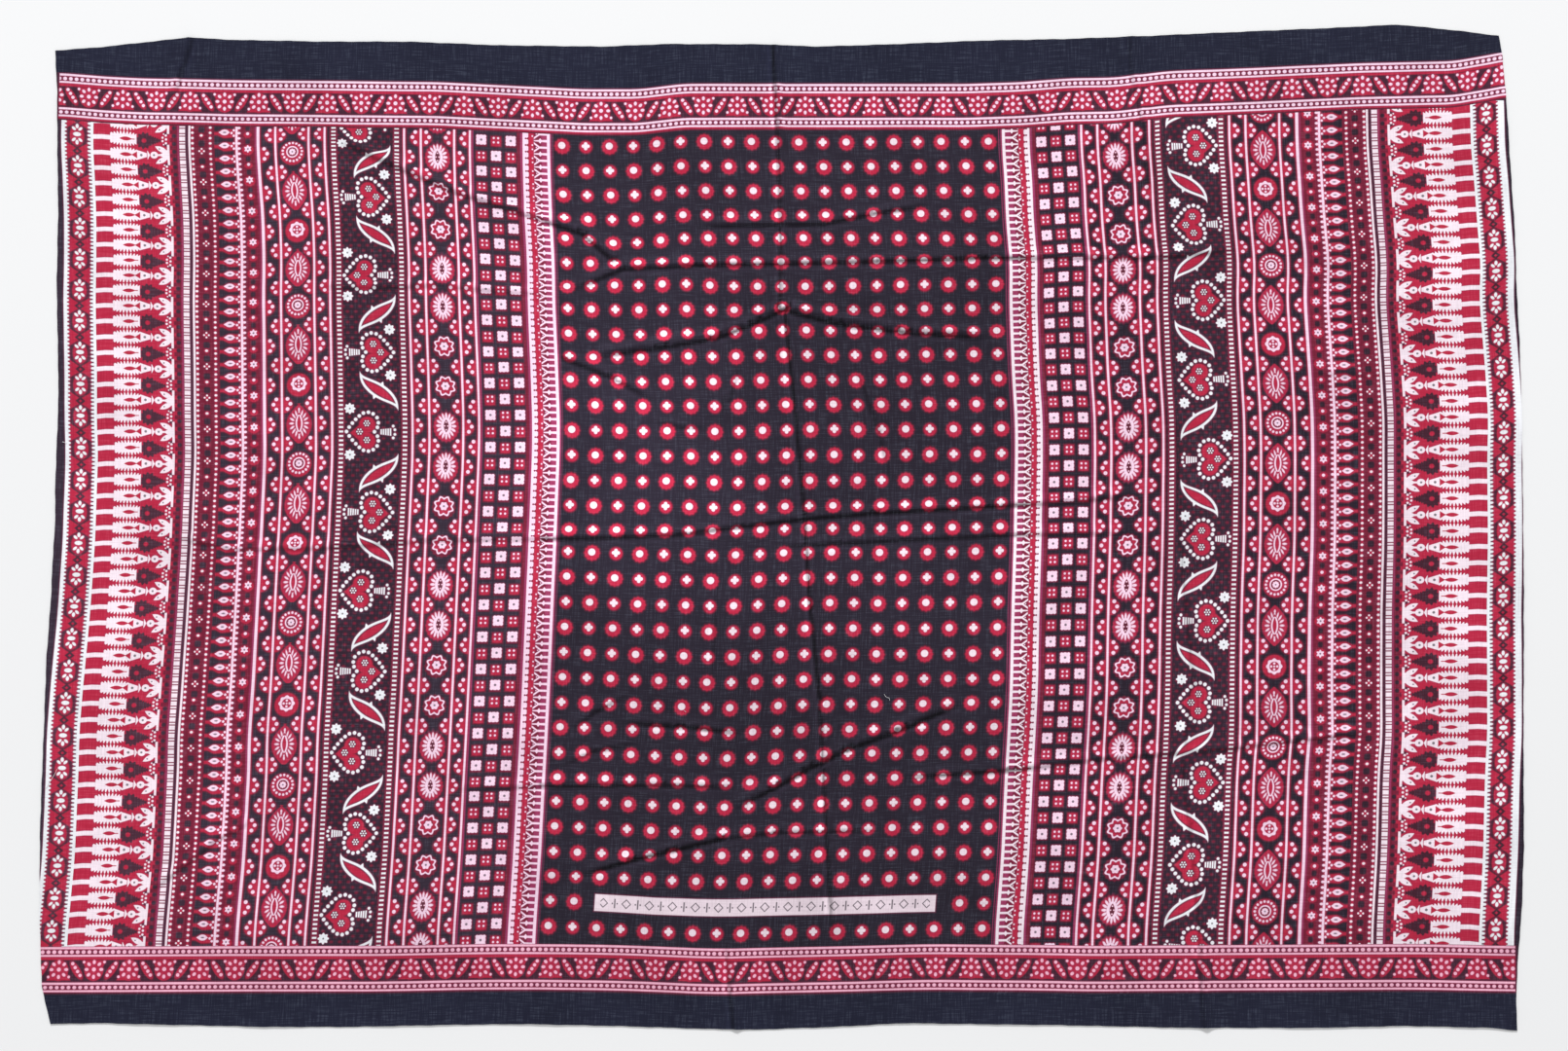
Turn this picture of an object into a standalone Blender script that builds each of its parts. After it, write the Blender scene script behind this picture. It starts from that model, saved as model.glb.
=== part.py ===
"""Kanga wrap cloth: one oblong of thin printed cotton, laid out face up.

Run with: blender --background --python part.py
Units are metres, +Z up, +X along the length and +Y towards the top border.
The cloth rests on z = 0, and the origin is under the middle of its outline box.
"""

import math
from collections import namedtuple

import bmesh
import bpy
from mathutils import Vector
from mathutils.geometry import delaunay_2d_cdt

MM = 0.001

# Driving sizes, in millimetres.
LENGTH = 1596.0          # from one cut end to the other
WIDTH = 1088.0           # from one selvedge to the other
WALL = 1.4               # thickness of the cloth wall
TAPER = 38.0             # length over which a crease dies away at a free end
SIDE_POWER = 1.6         # how hollow the sides of a crease are

# Spacing of the mesh's points, in millimetres.
GRID_STEP = 88.0         # plain points between the creases
GRID_EDGE = 29.0         # least distance of a plain point from the outline
GRID_CREASE = 9.0        # least distance of a plain point from a crease's foot
CREASE_STEP = 34.0       # stations along a crease
CREASE_EDGE = 1.6        # least distance of a crease's point from the outline
SAMPLE = 6.0             # test points along a crease's path
MERGE = 0.4              # points closer than this become one
ACROSS = (-1.0, -0.36, 0.0, 0.36, 1.0)   # points across a crease, as shares of its reach

# How far each edge runs inside the LENGTH by WIDTH box: position, inset.
TOP_EDGE = (
    (-798, 29.0), (-752, 25.5), (-699, 19.5), (-652, 14.5), (-603, 17.0), (-507, 19.0),
    (-412, 19.0), (-316, 23.0), (-196, 24.5), (-124, 21.5), (-28, 22.0), (36, 24.5),
    (115, 22.0), (211, 18.0), (307, 16.0), (403, 12.5), (499, 8.0), (595, 4.0),
    (672, 0.0), (707, 3.5), (739, 7.0), (782, 12.5),
)
RIGHT_EDGE = (
    (507, 12.5), (463, 9.5), (399, 7.0), (313, 3.0), (249, 2.5), (195, 0.5), (121, 0.0),
    (37, 0.5), (-58, 1.5), (-152, 3.5), (-256, 6.0), (-350, 7.5), (-412, 11.0),
    (-463, 16.0), (-504, 19.0),
)
BOTTOM_EDGE = (
    (779, 0.0), (752, 3.0), (659, 5.0), (566, 3.0), (426, 3.0), (286, 6.0), (193, 7.0),
    (128, 8.0), (53, 4.0), (-33, 1.0), (-87, 2.0), (-180, 5.0), (-276, 7.0), (-366, 6.0),
    (-459, 4.0), (-552, 4.0), (-645, 6.0), (-731, 8.0), (-781, 7.0),
)
LEFT_EDGE = (
    (-498, 7.0), (-422, 3.0), (-329, 1.5), (-267, 2.5), (-215, 3.5), (-152, 4.5),
    (-83, 8.0), (-27, 9.5), (-8, 11.0), (43, 10.0), (128, 11.5), (170, 10.5), (255, 7.0),
    (341, 7.0), (384, 5.5), (470, 3.0),
)

# Raised creases. left and right are the reach on each side of the path, and open says
# which of its two ends run out at an edge or into another crease.
Fold = namedtuple("Fold", "name height left right path open")
FOLDS = (
    Fold("fold_top", 3.0, 9, 8, ((-10, 524), (-5, 433), (-1, 324), (-1, 232)), (True, True)),
    Fold("fold_middle", 3.6, 10, 9, ((4, 226), (16, 111), (25, 5), (31, -90), (41, -189)),
     (True, True)),
    Fold("fold_bottom", 2.6, 9, 9, ((41, -189), (47, -308), (51, -381), (55, -448)),
     (True, False)),
    Fold("tuck_top_left", 3.0, 11, 9, ((-652, 529), (-663, 490), (-674, 448)), (True, False)),
    Fold("fold_right_top", 2.4, 9, 8, ((380, 530), (382, 490), (395, 431), (399, 366)),
     (True, True)),
    Fold("fold_right_upper", 1.8, 8, 8, ((399, 366), (401, 249), (405, 178)), (True, False)),
    Fold("fold_right_lower", 3.0, 10, 9, ((427, 142), (430, -27), (437, -110), (442, -173)),
     (False, True)),
    Fold("fold_right_foot", 3.0, 10, 10,
     ((442, -173), (430, -267), (437, -329), (446, -432), (449, -540)), (True, True)),
    Fold("slant_upper_left", 4.0, 12, 11,
     ((-490, 420), (-431, 393), (-357, 361), (-272, 334), (-219, 316), (-186, 288)),
     (False, True)),
    Fold("cross_upper", 3.4, 11, 9,
     ((-236, 252), (-176, 277), (-92, 281), (99, 285), (215, 289), (406, 289),
      (490, 297)), (False, False)),
    Fold("shoulder", 3.0, 9, 9,
     ((-100, 324), (-39, 325), (41, 326), (99, 338), (158, 347)), (False, False)),
    Fold("peak_left", 5.0, 9, 15,
     ((-210, 183), (-134, 193), (-76, 203), (-33, 220), (-1, 235)), (False, True)),
    Fold("peak_right", 5.6, 9, 16, ((-1, 235), (56, 220), (130, 210), (226, 204)),
     (True, False)),
    Fold("fork_left", 3.2, 10, 9, ((-232, 176), (-186, 158), (-146, 136)), (False, False)),
    Fold("fork_left_tip", 2.0, 8, 8, ((-152, 112), (-112, 104), (-78, 103)), (False, False)),
    Fold("cross_left", 2.2, 9, 9,
     ((-508, 257), (-430, 256), (-377, 259), (-324, 253), (-258, 249)), (False, False)),
    Fold("belt_left", 2.4, 11, 9,
     ((-662, -14), (-594, -29), (-484, -27), (-385, -19), (-259, -17)), (False, True)),
    Fold("belt_middle", 3.4, 11, 9,
     ((-259, -17), (-175, -15), (-112, -12), (-49, -4), (25, 5)), (True, True)),
    Fold("belt_right", 3.4, 10, 9,
     ((25, 5), (98, 11), (224, 18), (308, 23), (380, 30)), (True, False)),
    Fold("belt_under", 2.6, 10, 9,
     ((-10, -25), (56, -22), (130, -18), (256, -12), (374, -11)), (False, False)),
    Fold("fork_low", 2.2, 8, 8, ((-234, -225), (-205, -204), (-166, -183)), (False, False)),
    Fold("fork_low_under", 2.0, 8, 8, ((-245, -263), (-205, -245), (-154, -236)),
     (False, False)),
    Fold("bar_low", 3.2, 9, 9, ((-178, -214), (-111, -218), (-40, -226)), (False, False)),
    Fold("swing_low", 4.8, 11, 14,
     ((-58, -305), (-12, -282), (24, -262), (66, -241), (124, -220), (192, -190)),
     (False, False)),
    Fold("cross_low_left", 2.4, 9, 9,
     ((-355, -286), (-257, -282), (-132, -281), (-46, -283)), (False, False)),
    Fold("cross_low_right", 3.0, 10, 9,
     ((125, -273), (243, -265), (337, -254), (463, -244), (546, -234), (634, -225)),
     (False, False)),
    Fold("foot_left", 4.0, 10, 10,
     ((-222, -377), (-163, -360), (-121, -350), (-69, -338)), (False, True)),
    Fold("foot_right", 2.2, 9, 9, ((-69, -338), (-7, -331), (102, -329)), (True, False)),
    Fold("slant_low_left", 2.8, 10, 10,
     ((-686, -400), (-646, -370), (-610, -341), (-563, -315)), (False, False)),
    Fold("tick_right_upper", 1.8, 8, 8, ((566, 162), (650, 160)), (False, False)),
    Fold("tick_right_lower", 1.6, 8, 8, ((575, 47), (643, 45)), (False, False)),
    Fold("wisp_left", 1.6, 8, 8, ((-48, 180), (-62, 132), (-71, 75)), (False, False)),
    Fold("wisp_right", 1.6, 8, 8, ((76, 180), (104, 100), (121, 33)), (False, False)),
    Fold("wisp_low", 1.6, 8, 8, ((-69, -65), (-75, -176)), (False, False)),
    Fold("tuck_bottom", 2.0, 8, 8, ((-60, -444), (-56, -492), (-51, -543)), (False, True)),
)

CLOTH_COLOUR = (0.16, 0.02, 0.05, 1.0)


def clear_scene():
    for obj in list(bpy.data.objects):
        bpy.data.objects.remove(obj, do_unlink=True)


def outline_points():
    """The cloth's edge, clockwise from its top left corner, in millimetres."""
    half_length = LENGTH / 2
    half_width = WIDTH / 2
    points = [Vector((x, half_width - inset)) for x, inset in TOP_EDGE]
    points += [Vector((half_length - inset, y)) for y, inset in RIGHT_EDGE]
    points += [Vector((x, inset - half_width)) for x, inset in BOTTOM_EDGE]
    points += [Vector((inset - half_length, y)) for y, inset in LEFT_EDGE]
    return points


def inside(outline, point):
    """Whether a point is within a closed outline, by counting the edges it passes."""
    within = False
    for start, end in zip(outline, outline[1:] + outline[:1]):
        if (start.y > point.y) == (end.y > point.y):
            continue
        crossing = start.x + (point.y - start.y) * (end.x - start.x) / (end.y - start.y)
        if point.x < crossing:
            within = not within
    return within


def clear_inside(outline, point, margin):
    """Whether a point is within the outline and at least a margin from it."""
    if not inside(outline, point):
        return False
    for start, end in zip(outline, outline[1:] + outline[:1]):
        along = end - start
        share = max(0.0, min(1.0, (point - start).dot(along) / along.length_squared))
        if (start + along * share - point).length < margin:
            return False
    return True


class Crease:
    """A raised fold: a crest that follows a path and falls away on both sides."""

    def __init__(self, fold):
        self.height = fold.height
        self.left = fold.left
        self.right = fold.right
        self.open_start, self.open_end = fold.open
        self.path = [Vector(point) for point in fold.path]
        self.lengths = [(b - a).length for a, b in zip(self.path, self.path[1:])]
        self.total = sum(self.lengths)

    def at(self, run):
        """The path's point and its left-hand normal, this far along."""
        for (a, b), length in zip(zip(self.path, self.path[1:]), self.lengths):
            if run <= length or b is self.path[-1]:
                along = (b - a) / length
                return a + along * run, Vector((-along.y, along.x))
            run -= length
        return self.path[-1], Vector((0.0, 1.0))

    def lift(self, point):
        """The crease's height at a point of the cloth."""
        best = 0.0
        before = 0.0
        for (a, b), length in zip(zip(self.path, self.path[1:]), self.lengths):
            along = (b - a) / length
            run = max(0.0, min(length, (point - a).dot(along)))
            offset = point - (a + along * run)
            side = along.x * offset.y - along.y * offset.x
            reach = self.left if side >= 0 else self.right
            share = offset.length / reach
            if share < 1.0:
                slope = (1.0 - share) ** SIDE_POWER
                best = max(best, slope * self.fade(before + run))
            before += length
        return best * self.height

    def fade(self, run):
        """1 along the crease, falling to 0 at each end that is free."""
        share = 1.0
        if not self.open_start:
            share = min(share, run / TAPER)
        if not self.open_end:
            share = min(share, (self.total - run) / TAPER)
        return math.sin(max(0.0, share) * math.pi / 2)

    def stations(self):
        """Distances along the path that carry points, its own corners among them."""
        marks = {0.0, self.total}
        run = 0.0
        for length in self.lengths:
            pieces = max(1, round(length / CREASE_STEP))
            marks.update(run + length * k / pieces for k in range(pieces))
            run += length
        return sorted(marks)


def seed_points(outline, creases):
    """Points for the mesh, and the edges that have to stay in it."""
    points = list(outline)
    edges = [(k, (k + 1) % len(outline)) for k in range(len(outline))]
    for crease in creases:
        for share in ACROSS:
            previous = None
            for run in crease.stations():
                centre, left = crease.at(run)
                reach = crease.left if share > 0 else crease.right
                point = centre + left * share * reach
                if not clear_inside(outline, point, CREASE_EDGE):
                    previous = None
                    continue
                points.append(point)
                if previous is not None:
                    edges.append((previous, len(points) - 1))
                previous = len(points) - 1
    return points + plain_points(outline, creases), edges


def plain_points(outline, creases):
    """A loose grid over the flat cloth, clear of the creases and the edges."""
    found = []
    columns = int(LENGTH / GRID_STEP)
    rows = int(WIDTH / GRID_STEP)
    for row in range(-rows // 2, rows // 2 + 1):
        for column in range(-columns // 2, columns // 2 + 1):
            stagger = GRID_STEP / 2 if row % 2 else 0.0
            point = Vector((column * GRID_STEP + stagger, row * GRID_STEP))
            if not clear_inside(outline, point, GRID_EDGE):
                continue
            if any(near_crease(crease, point) for crease in creases):
                continue
            found.append(point)
    return found


def near_crease(crease, point):
    limit = max(crease.left, crease.right) + GRID_CREASE
    for step in range(int(crease.total / SAMPLE) + 1):
        if (crease.at(step * SAMPLE)[0] - point).length < limit:
            return True
    return False


def cloth_material():
    material = bpy.data.materials.new("printed_cotton")
    material.use_nodes = True
    shader = material.node_tree.nodes["Principled BSDF"]
    shader.inputs["Base Color"].default_value = CLOTH_COLOUR
    shader.inputs["Roughness"].default_value = 0.85
    shader.inputs["Metallic"].default_value = 0.0
    return material


def rim_edges(faces):
    """The edges that only one face uses, each in that face's direction."""
    directed = {(a, b) for face in faces for a, b in zip(face, face[1:] + face[:1])}
    return [(a, b) for a, b in sorted(directed) if (b, a) not in directed]


def build_cloth():
    """The whole cloth: a wall whose underside lifts only below its creases."""
    outline = outline_points()
    creases = [Crease(fold) for fold in FOLDS]
    points, edges = seed_points(outline, creases)
    border = list(range(len(outline)))
    triangles_inside = 1
    flat, _, faces, _, _, _ = delaunay_2d_cdt(
        points, edges, [border], triangles_inside, MERGE)

    mesh = bmesh.new()
    upper = []
    lower = []
    for point in flat:
        lift = max(crease.lift(point) for crease in creases)
        upper.append(mesh.verts.new((point.x * MM, point.y * MM, (WALL + lift) * MM)))
        lower.append(mesh.verts.new((point.x * MM, point.y * MM, lift * MM)))
    for face in faces:
        mesh.faces.new([upper[k] for k in face])
        mesh.faces.new([lower[k] for k in reversed(face)])
    for first, second in rim_edges(faces):
        mesh.faces.new((upper[second], upper[first], lower[first], lower[second]))
    bmesh.ops.recalc_face_normals(mesh, faces=mesh.faces)

    data = bpy.data.meshes.new("kanga_cloth")
    mesh.to_mesh(data)
    mesh.free()
    data.materials.append(cloth_material())
    cloth = bpy.data.objects.new("kanga_cloth", data)
    bpy.context.scene.collection.objects.link(cloth)
    return cloth


def main():
    clear_scene()
    build_cloth()


main()
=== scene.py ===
import math

import bpy
import numpy as np
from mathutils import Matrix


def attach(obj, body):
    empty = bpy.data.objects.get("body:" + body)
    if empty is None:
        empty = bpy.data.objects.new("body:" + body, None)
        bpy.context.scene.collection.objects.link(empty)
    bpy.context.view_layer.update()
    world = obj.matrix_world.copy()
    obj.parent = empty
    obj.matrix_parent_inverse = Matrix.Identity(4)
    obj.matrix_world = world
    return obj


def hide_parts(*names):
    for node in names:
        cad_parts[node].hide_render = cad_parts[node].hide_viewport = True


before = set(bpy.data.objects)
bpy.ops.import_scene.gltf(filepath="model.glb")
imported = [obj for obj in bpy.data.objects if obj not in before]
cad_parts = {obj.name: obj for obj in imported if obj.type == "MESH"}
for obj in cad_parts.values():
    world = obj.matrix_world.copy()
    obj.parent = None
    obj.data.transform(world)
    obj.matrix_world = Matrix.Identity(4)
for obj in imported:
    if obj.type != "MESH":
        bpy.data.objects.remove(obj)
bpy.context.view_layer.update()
scene = bpy.context.scene
mm = 0.001
print("frame loaded:", sorted(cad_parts))


# wires: shader values that can be added, scaled and compared like numbers

def feed(tree, socket, value):
    if isinstance(value, Wire):
        tree.links.new(value.socket, socket)
    else:
        socket.default_value = value


class Wire:
    def __init__(self, tree, socket):
        self.tree = tree
        self.socket = socket

    def math(self, operation, *others):
        return mathNode(self.tree, operation, self, *others)

    def __add__(self, other):
        return self.math("ADD", other)

    def __radd__(self, other):
        return self.math("ADD", other)

    def __sub__(self, other):
        return self.math("SUBTRACT", other)

    def __rsub__(self, other):
        return mathNode(self.tree, "SUBTRACT", other, self)

    def __mul__(self, other):
        return self.math("MULTIPLY", other)

    def __rmul__(self, other):
        return self.math("MULTIPLY", other)

    def __truediv__(self, other):
        return self.math("DIVIDE", other)

    def __rtruediv__(self, other):
        return mathNode(self.tree, "DIVIDE", other, self)

    def __neg__(self):
        return self.math("MULTIPLY", -1.0)

    def __abs__(self):
        return self.math("ABSOLUTE")

    def cos(self):
        return self.math("COSINE")


def mathNode(tree, operation, *values):
    node = tree.nodes.new("ShaderNodeMath")
    node.operation = operation
    for place, value in enumerate(values):
        feed(tree, node.inputs[place], value)
    return Wire(tree, node.outputs[0])


def low(first, *others):     # the union of two or more shapes' distances
    for other in others:
        first = first.math("MINIMUM", other)
    return first


def high(first, *others):    # the overlap of two or more shapes' distances
    for other in others:
        first = first.math("MAXIMUM", other)
    return first


def splitVector(tree, socket):
    node = tree.nodes.new("ShaderNodeSeparateXYZ")
    tree.links.new(socket, node.inputs[0])
    return Wire(tree, node.outputs[0]), Wire(tree, node.outputs[1])


def joinVector(tree, x, y, z=0.0):
    node = tree.nodes.new("ShaderNodeCombineXYZ")
    for place, value in enumerate((x, y, z)):
        feed(tree, node.inputs[place], value)
    return Wire(tree, node.outputs[0])


# shared shader groups

def makeGroup(name, inputs, outputs, body):
    tree = bpy.data.node_groups.new(name, "ShaderNodeTree")
    for label, kind, value in inputs:
        socket = tree.interface.new_socket(label, in_out="INPUT", socket_type=kind)
        socket.default_value = value
    for label, kind in outputs:
        tree.interface.new_socket(label, in_out="OUTPUT", socket_type=kind)
    source = tree.nodes.new("NodeGroupInput")
    target = tree.nodes.new("NodeGroupOutput")
    results = body(tree, *[Wire(tree, source.outputs[label]) for label, _, _ in inputs])
    for place, result in enumerate(results):
        tree.links.new(result.socket, target.inputs[place])
    return tree


def useGroup(tree, name, **values):     # value names match socket names without their spaces
    node = tree.nodes.new("ShaderNodeGroup")
    node.node_tree = bpy.data.node_groups[name]
    for socket in node.inputs:
        key = socket.name.replace(" ", "")
        if key in values:
            feed(tree, socket, values.pop(key))
    if values:
        raise ValueError(f"{name} has no input {sorted(values)}")
    return [Wire(tree, socket) for socket in node.outputs]


number = "NodeSocketFloat"
colour = "NodeSocketColor"


def repeatBody(tree, value, pitch, start):
    moved = value - start
    half = pitch * 0.5
    offset = moved.math("WRAP", half, -half)
    return [offset, ((moved / pitch) + 0.5).math("FLOOR")]


def ovalBody(tree, x, y, across, along):
    length = tree.nodes.new("ShaderNodeVectorMath")
    length.operation = "LENGTH"
    tree.links.new(joinVector(tree, x / across, y / along).socket, length.inputs[0])
    return [(Wire(tree, length.outputs["Value"]) - 1.0) * across.math("MINIMUM", along)]


def petalRingBody(tree, x, y, count, radius, width, reach, stretch):
    # ovals set round a circle; stretch makes the circle an upright oval
    upright = y / stretch
    angle = mathNode(tree, "ARCTAN2", upright, x)
    half = math.pi / count
    turn = angle.math("WRAP", half, -half)
    away = ((x * x) + (upright * upright)).math("SQRT")
    return useGroup(tree, "ovalShape", X=away * turn.cos() - radius,
                    Y=away * turn.math("SINE"), Across=reach, Along=width)


def lobedBody(tree, x, y, radius, depth, count, turn):
    angle = mathNode(tree, "ARCTAN2", y, x) + turn
    away = ((x * x) + (y * y)).math("SQRT")
    return [away - radius - depth * (angle * count).cos()]


def bladeBody(tree, x, y, length, half):     # a pointed leaf lying along x
    share = x / length
    return [abs(y) - half * (1.0 - share * share)]


def scallopBody(tree, reach, along, ink):
    # a half round with three dots, standing on a line; reach is the distance from the line
    red, = useGroup(tree, "ovalShape", X=reach, Y=ink, Across=11.6, Along=8.9)
    sideDot, = useGroup(tree, "ovalShape", X=reach - 6.0, Y=abs(along) - 5.6, Across=2.0, Along=2.0)
    tipDot, = useGroup(tree, "ovalShape", X=reach - 9.1, Y=along, Across=2.0, Along=2.0)
    return [high(red, -reach), low(sideDot, tipDot)]


def maskOf(tree, distance, soft):
    node = tree.nodes.new("ShaderNodeMapRange")
    node.interpolation_type = "SMOOTHSTEP"
    feed(tree, node.inputs["Value"], distance)
    feed(tree, node.inputs["From Min"], soft)
    feed(tree, node.inputs["From Max"], -soft)
    return Wire(tree, node.outputs["Result"])


def mixColour(tree, share, first, second, blend="MIX"):
    node = tree.nodes.new("ShaderNodeMix")
    node.data_type = "RGBA"
    node.blend_type = blend
    feed(tree, node.inputs[0], share)
    feed(tree, node.inputs[6], first)
    feed(tree, node.inputs[7], second)
    return Wire(tree, node.outputs[2])


inkSet = {
    "navy": (0.0160, 0.0175, 0.0365, 1.0),
    "wash": (0.190, 0.0150, 0.040, 1.0),
    "crimson": (0.49, 0.0215, 0.060, 1.0),
    "magenta": (0.34, 0.040, 0.120, 1.0),
    "white": (0.90, 0.86, 0.92, 1.0),
    "whiteSoft": 0.42,      # how far an ink edge blurs, mm
    "redSoft": 0.9,
    "darkSoft": 0.8,
    "washSoft": 1.2,
    "magentaSoft": 0.9,
    "redOverSoft": 0.45,
    "darkOverSoft": 0.4,
    "darkDepth": 0.92,      # how much of the ground shows in a dark shape on red
    "darkOverDepth": 0.8,   # and in one on white
    "haloReach": 2.6,       # a dull red creeps this far round each red shape
    "haloDepth": 0.55,
    "pinkReach": 1.0,       # and a pink one round each white shape
    "pinkDepth": 0.40,
}


def inkBody(tree, ground, wash, fringe, red, dark, white, redOver, darkOver, paper):
    spread = maskOf(tree, red - inkSet["haloReach"] / 2, inkSet["haloReach"] / 2) * inkSet["haloDepth"]
    washed = spread.math("MAXIMUM", maskOf(tree, wash, inkSet["washSoft"]))
    result = mixColour(tree, washed, ground, inkSet["wash"])
    result = mixColour(tree, maskOf(tree, fringe, inkSet["magentaSoft"]), result, inkSet["magenta"])
    result = mixColour(tree, maskOf(tree, red, inkSet["redSoft"]), result, inkSet["crimson"])
    cover = maskOf(tree, dark, inkSet["darkSoft"]) * inkSet["darkDepth"]
    result = mixColour(tree, cover, result, ground)
    pink = maskOf(tree, white - inkSet["pinkReach"], inkSet["pinkReach"]) * inkSet["pinkDepth"]
    result = mixColour(tree, pink, result, inkSet["magenta"])
    result = mixColour(tree, maskOf(tree, white, inkSet["whiteSoft"]), result, paper)
    result = mixColour(tree, maskOf(tree, redOver, inkSet["redOverSoft"]), result, inkSet["crimson"])
    cover = maskOf(tree, darkOver, inkSet["darkOverSoft"]) * inkSet["darkOverDepth"]
    result = mixColour(tree, cover, result, ground)
    return [result]


weave = {
    "slubFine": 1.3,        # width of a thick thread's streak, mm
    "slubLong": 26.0,       # its length, mm
    "thread": 0.42,         # thread spacing, mm
    "toneDepth": 0.42,
    "threadTone": 0.03,
    "threadHeight": 0.12,
    "slubHeight": 0.5,
    "patchScale": 0.012,    # the broad, faint unevenness of the dye
    "patchDepth": 0.5,
    "fleckFrom": 0.02,
    "fleckDepth": 0.55,
    "fleck": (0.16, 0.19, 0.25, 1.0),      # the pale fibres of the thicker threads
}


def streaks(tree, x, y, seed):
    node = tree.nodes.new("ShaderNodeTexNoise")
    node.noise_dimensions = "3D"
    node.inputs["Scale"].default_value = 1.0
    node.inputs["Detail"].default_value = 2.0
    node.inputs["Roughness"].default_value = 0.6
    tree.links.new(joinVector(tree, x / weave["slubFine"], y / weave["slubLong"], seed).socket,
                   node.inputs["Vector"])
    return Wire(tree, node.outputs[0])


def weaveBody(tree, u, v):
    upright = streaks(tree, u, v, 3.0)
    across = streaks(tree, v, u, 11.0)
    warp = (u * (2 * math.pi / weave["thread"])).cos()
    weft = (v * (2 * math.pi / weave["thread"])).cos()
    slub = (upright + across) - 1.0
    broad = tree.nodes.new("ShaderNodeTexNoise")
    broad.inputs["Scale"].default_value = weave["patchScale"]
    broad.inputs["Detail"].default_value = 3.0
    tree.links.new(joinVector(tree, u, v, 5.0).socket, broad.inputs["Vector"])
    patch = (Wire(tree, broad.outputs[0]) - 0.5) * weave["patchDepth"]
    tone = slub * weave["toneDepth"] + warp * weft * weave["threadTone"] + patch + 1.0
    height = slub * weave["slubHeight"] + warp * weft * weave["threadHeight"]
    fleck = (slub - weave["fleckFrom"]).math("MAXIMUM", 0.0) * weave["fleckDepth"]
    return [tone, height, fleck]


makeGroup("repeatEvery", [("Value", number, 0.0), ("Pitch", number, 1.0), ("Start", number, 0.0)],
          [("Offset", number), ("Count", number)], repeatBody)
makeGroup("ovalShape", [("X", number, 0.0), ("Y", number, 0.0), ("Across", number, 1.0),
                        ("Along", number, 1.0)], [("Distance", number)], ovalBody)
makeGroup("petalRing", [("X", number, 0.0), ("Y", number, 0.0), ("Count", number, 8.0),
                        ("Radius", number, 5.0), ("Width", number, 1.0), ("Reach", number, 2.0),
                        ("Stretch", number, 1.0)], [("Distance", number)],
          petalRingBody)
makeGroup("lobedShape", [("X", number, 0.0), ("Y", number, 0.0), ("Radius", number, 5.0),
                         ("Depth", number, 1.0), ("Count", number, 8.0), ("Turn", number, 0.0)],
          [("Distance", number)], lobedBody)
makeGroup("bladeShape", [("X", number, 0.0), ("Y", number, 0.0), ("Length", number, 5.0),
                         ("Half", number, 1.0)], [("Distance", number)], bladeBody)
makeGroup("scallop", [("Reach", number, 0.0), ("Along", number, 0.0), ("Ink Along", number, 0.0)],
          [("Red", number), ("White", number)], scallopBody)
makeGroup("printInks", [("Ground", colour, inkSet["navy"]), ("Wash", number, 9.0),
                        ("Fringe", number, 9.0), ("Red", number, 9.0), ("Dark", number, 9.0),
                        ("White", number, 9.0), ("Red Over", number, 9.0), ("Dark Over", number, 9.0),
                        ("Paper", colour, inkSet["white"])], [("Color", colour)], inkBody)
makeGroup("plainWeave", [("U", number, 0.0), ("V", number, 0.0)],
          [("Tone", number), ("Height", number), ("Fleck", number)], weaveBody)


def repeat(value, pitch, start=0.0):
    return useGroup(value.tree, "repeatEvery", Value=value, Pitch=pitch, Start=start)


def oval(x, y, across, along=None):
    return useGroup(x.tree, "ovalShape", X=x, Y=y, Across=across, Along=along or across)[0]


def petals(x, y, count, radius, width, reach, stretch=1.0):
    return useGroup(x.tree, "petalRing", X=x, Y=y, Count=float(count), Radius=radius,
                    Width=width, Reach=reach, Stretch=stretch)[0]


def lobed(x, y, radius, depth, count, turn=0.0):
    return useGroup(x.tree, "lobedShape", X=x, Y=y, Radius=radius, Depth=depth,
                    Count=float(count), Turn=turn)[0]


def blade(x, y, length, half):
    return useGroup(x.tree, "bladeShape", X=x, Y=y, Length=length, Half=half)[0]


def bar(x, half):
    return abs(x) - half


def block(x, y, across, along):
    return high(abs(x) - across, abs(y) - along)


def turned(x, y, degrees):
    c = math.cos(math.radians(degrees))
    s = math.sin(math.radians(degrees))
    return x * c + y * s, y * c - x * s


def isCount(count, every, which):     # 0 where the count is this one of every so many, else 9
    step = (count - which) / every
    return (abs(step - (step + 0.5).math("FLOOR")) - 0.01).math("GREATER_THAN", 0.0) * 9.0


# the printed bands; x runs inwards from a band's outer side and v up the cloth, both in mm
# v is where the white of a motif lies; w is the same place for its red and dark inks, which were
# laid on a little low at the left and almost true at the right

pitchComb = 17.45      # the print's other repeats are simple shares of this one
pitchPair = pitchComb * 2
pitchBead = pitchComb / 3
pitchEye = pitchPair / 2.4
pitchRose = pitchPair * 1.25
pitchHeart = pitchPair * 2.5
absent = 9.0           # a distance that leaves a shape out


def alternate(count):      # 0 for even counts, 1 for odd ones
    return (abs(count.math("WRAP", 1.0, -1.0)) - 0.5).math("GREATER_THAN", 0.0)


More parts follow.
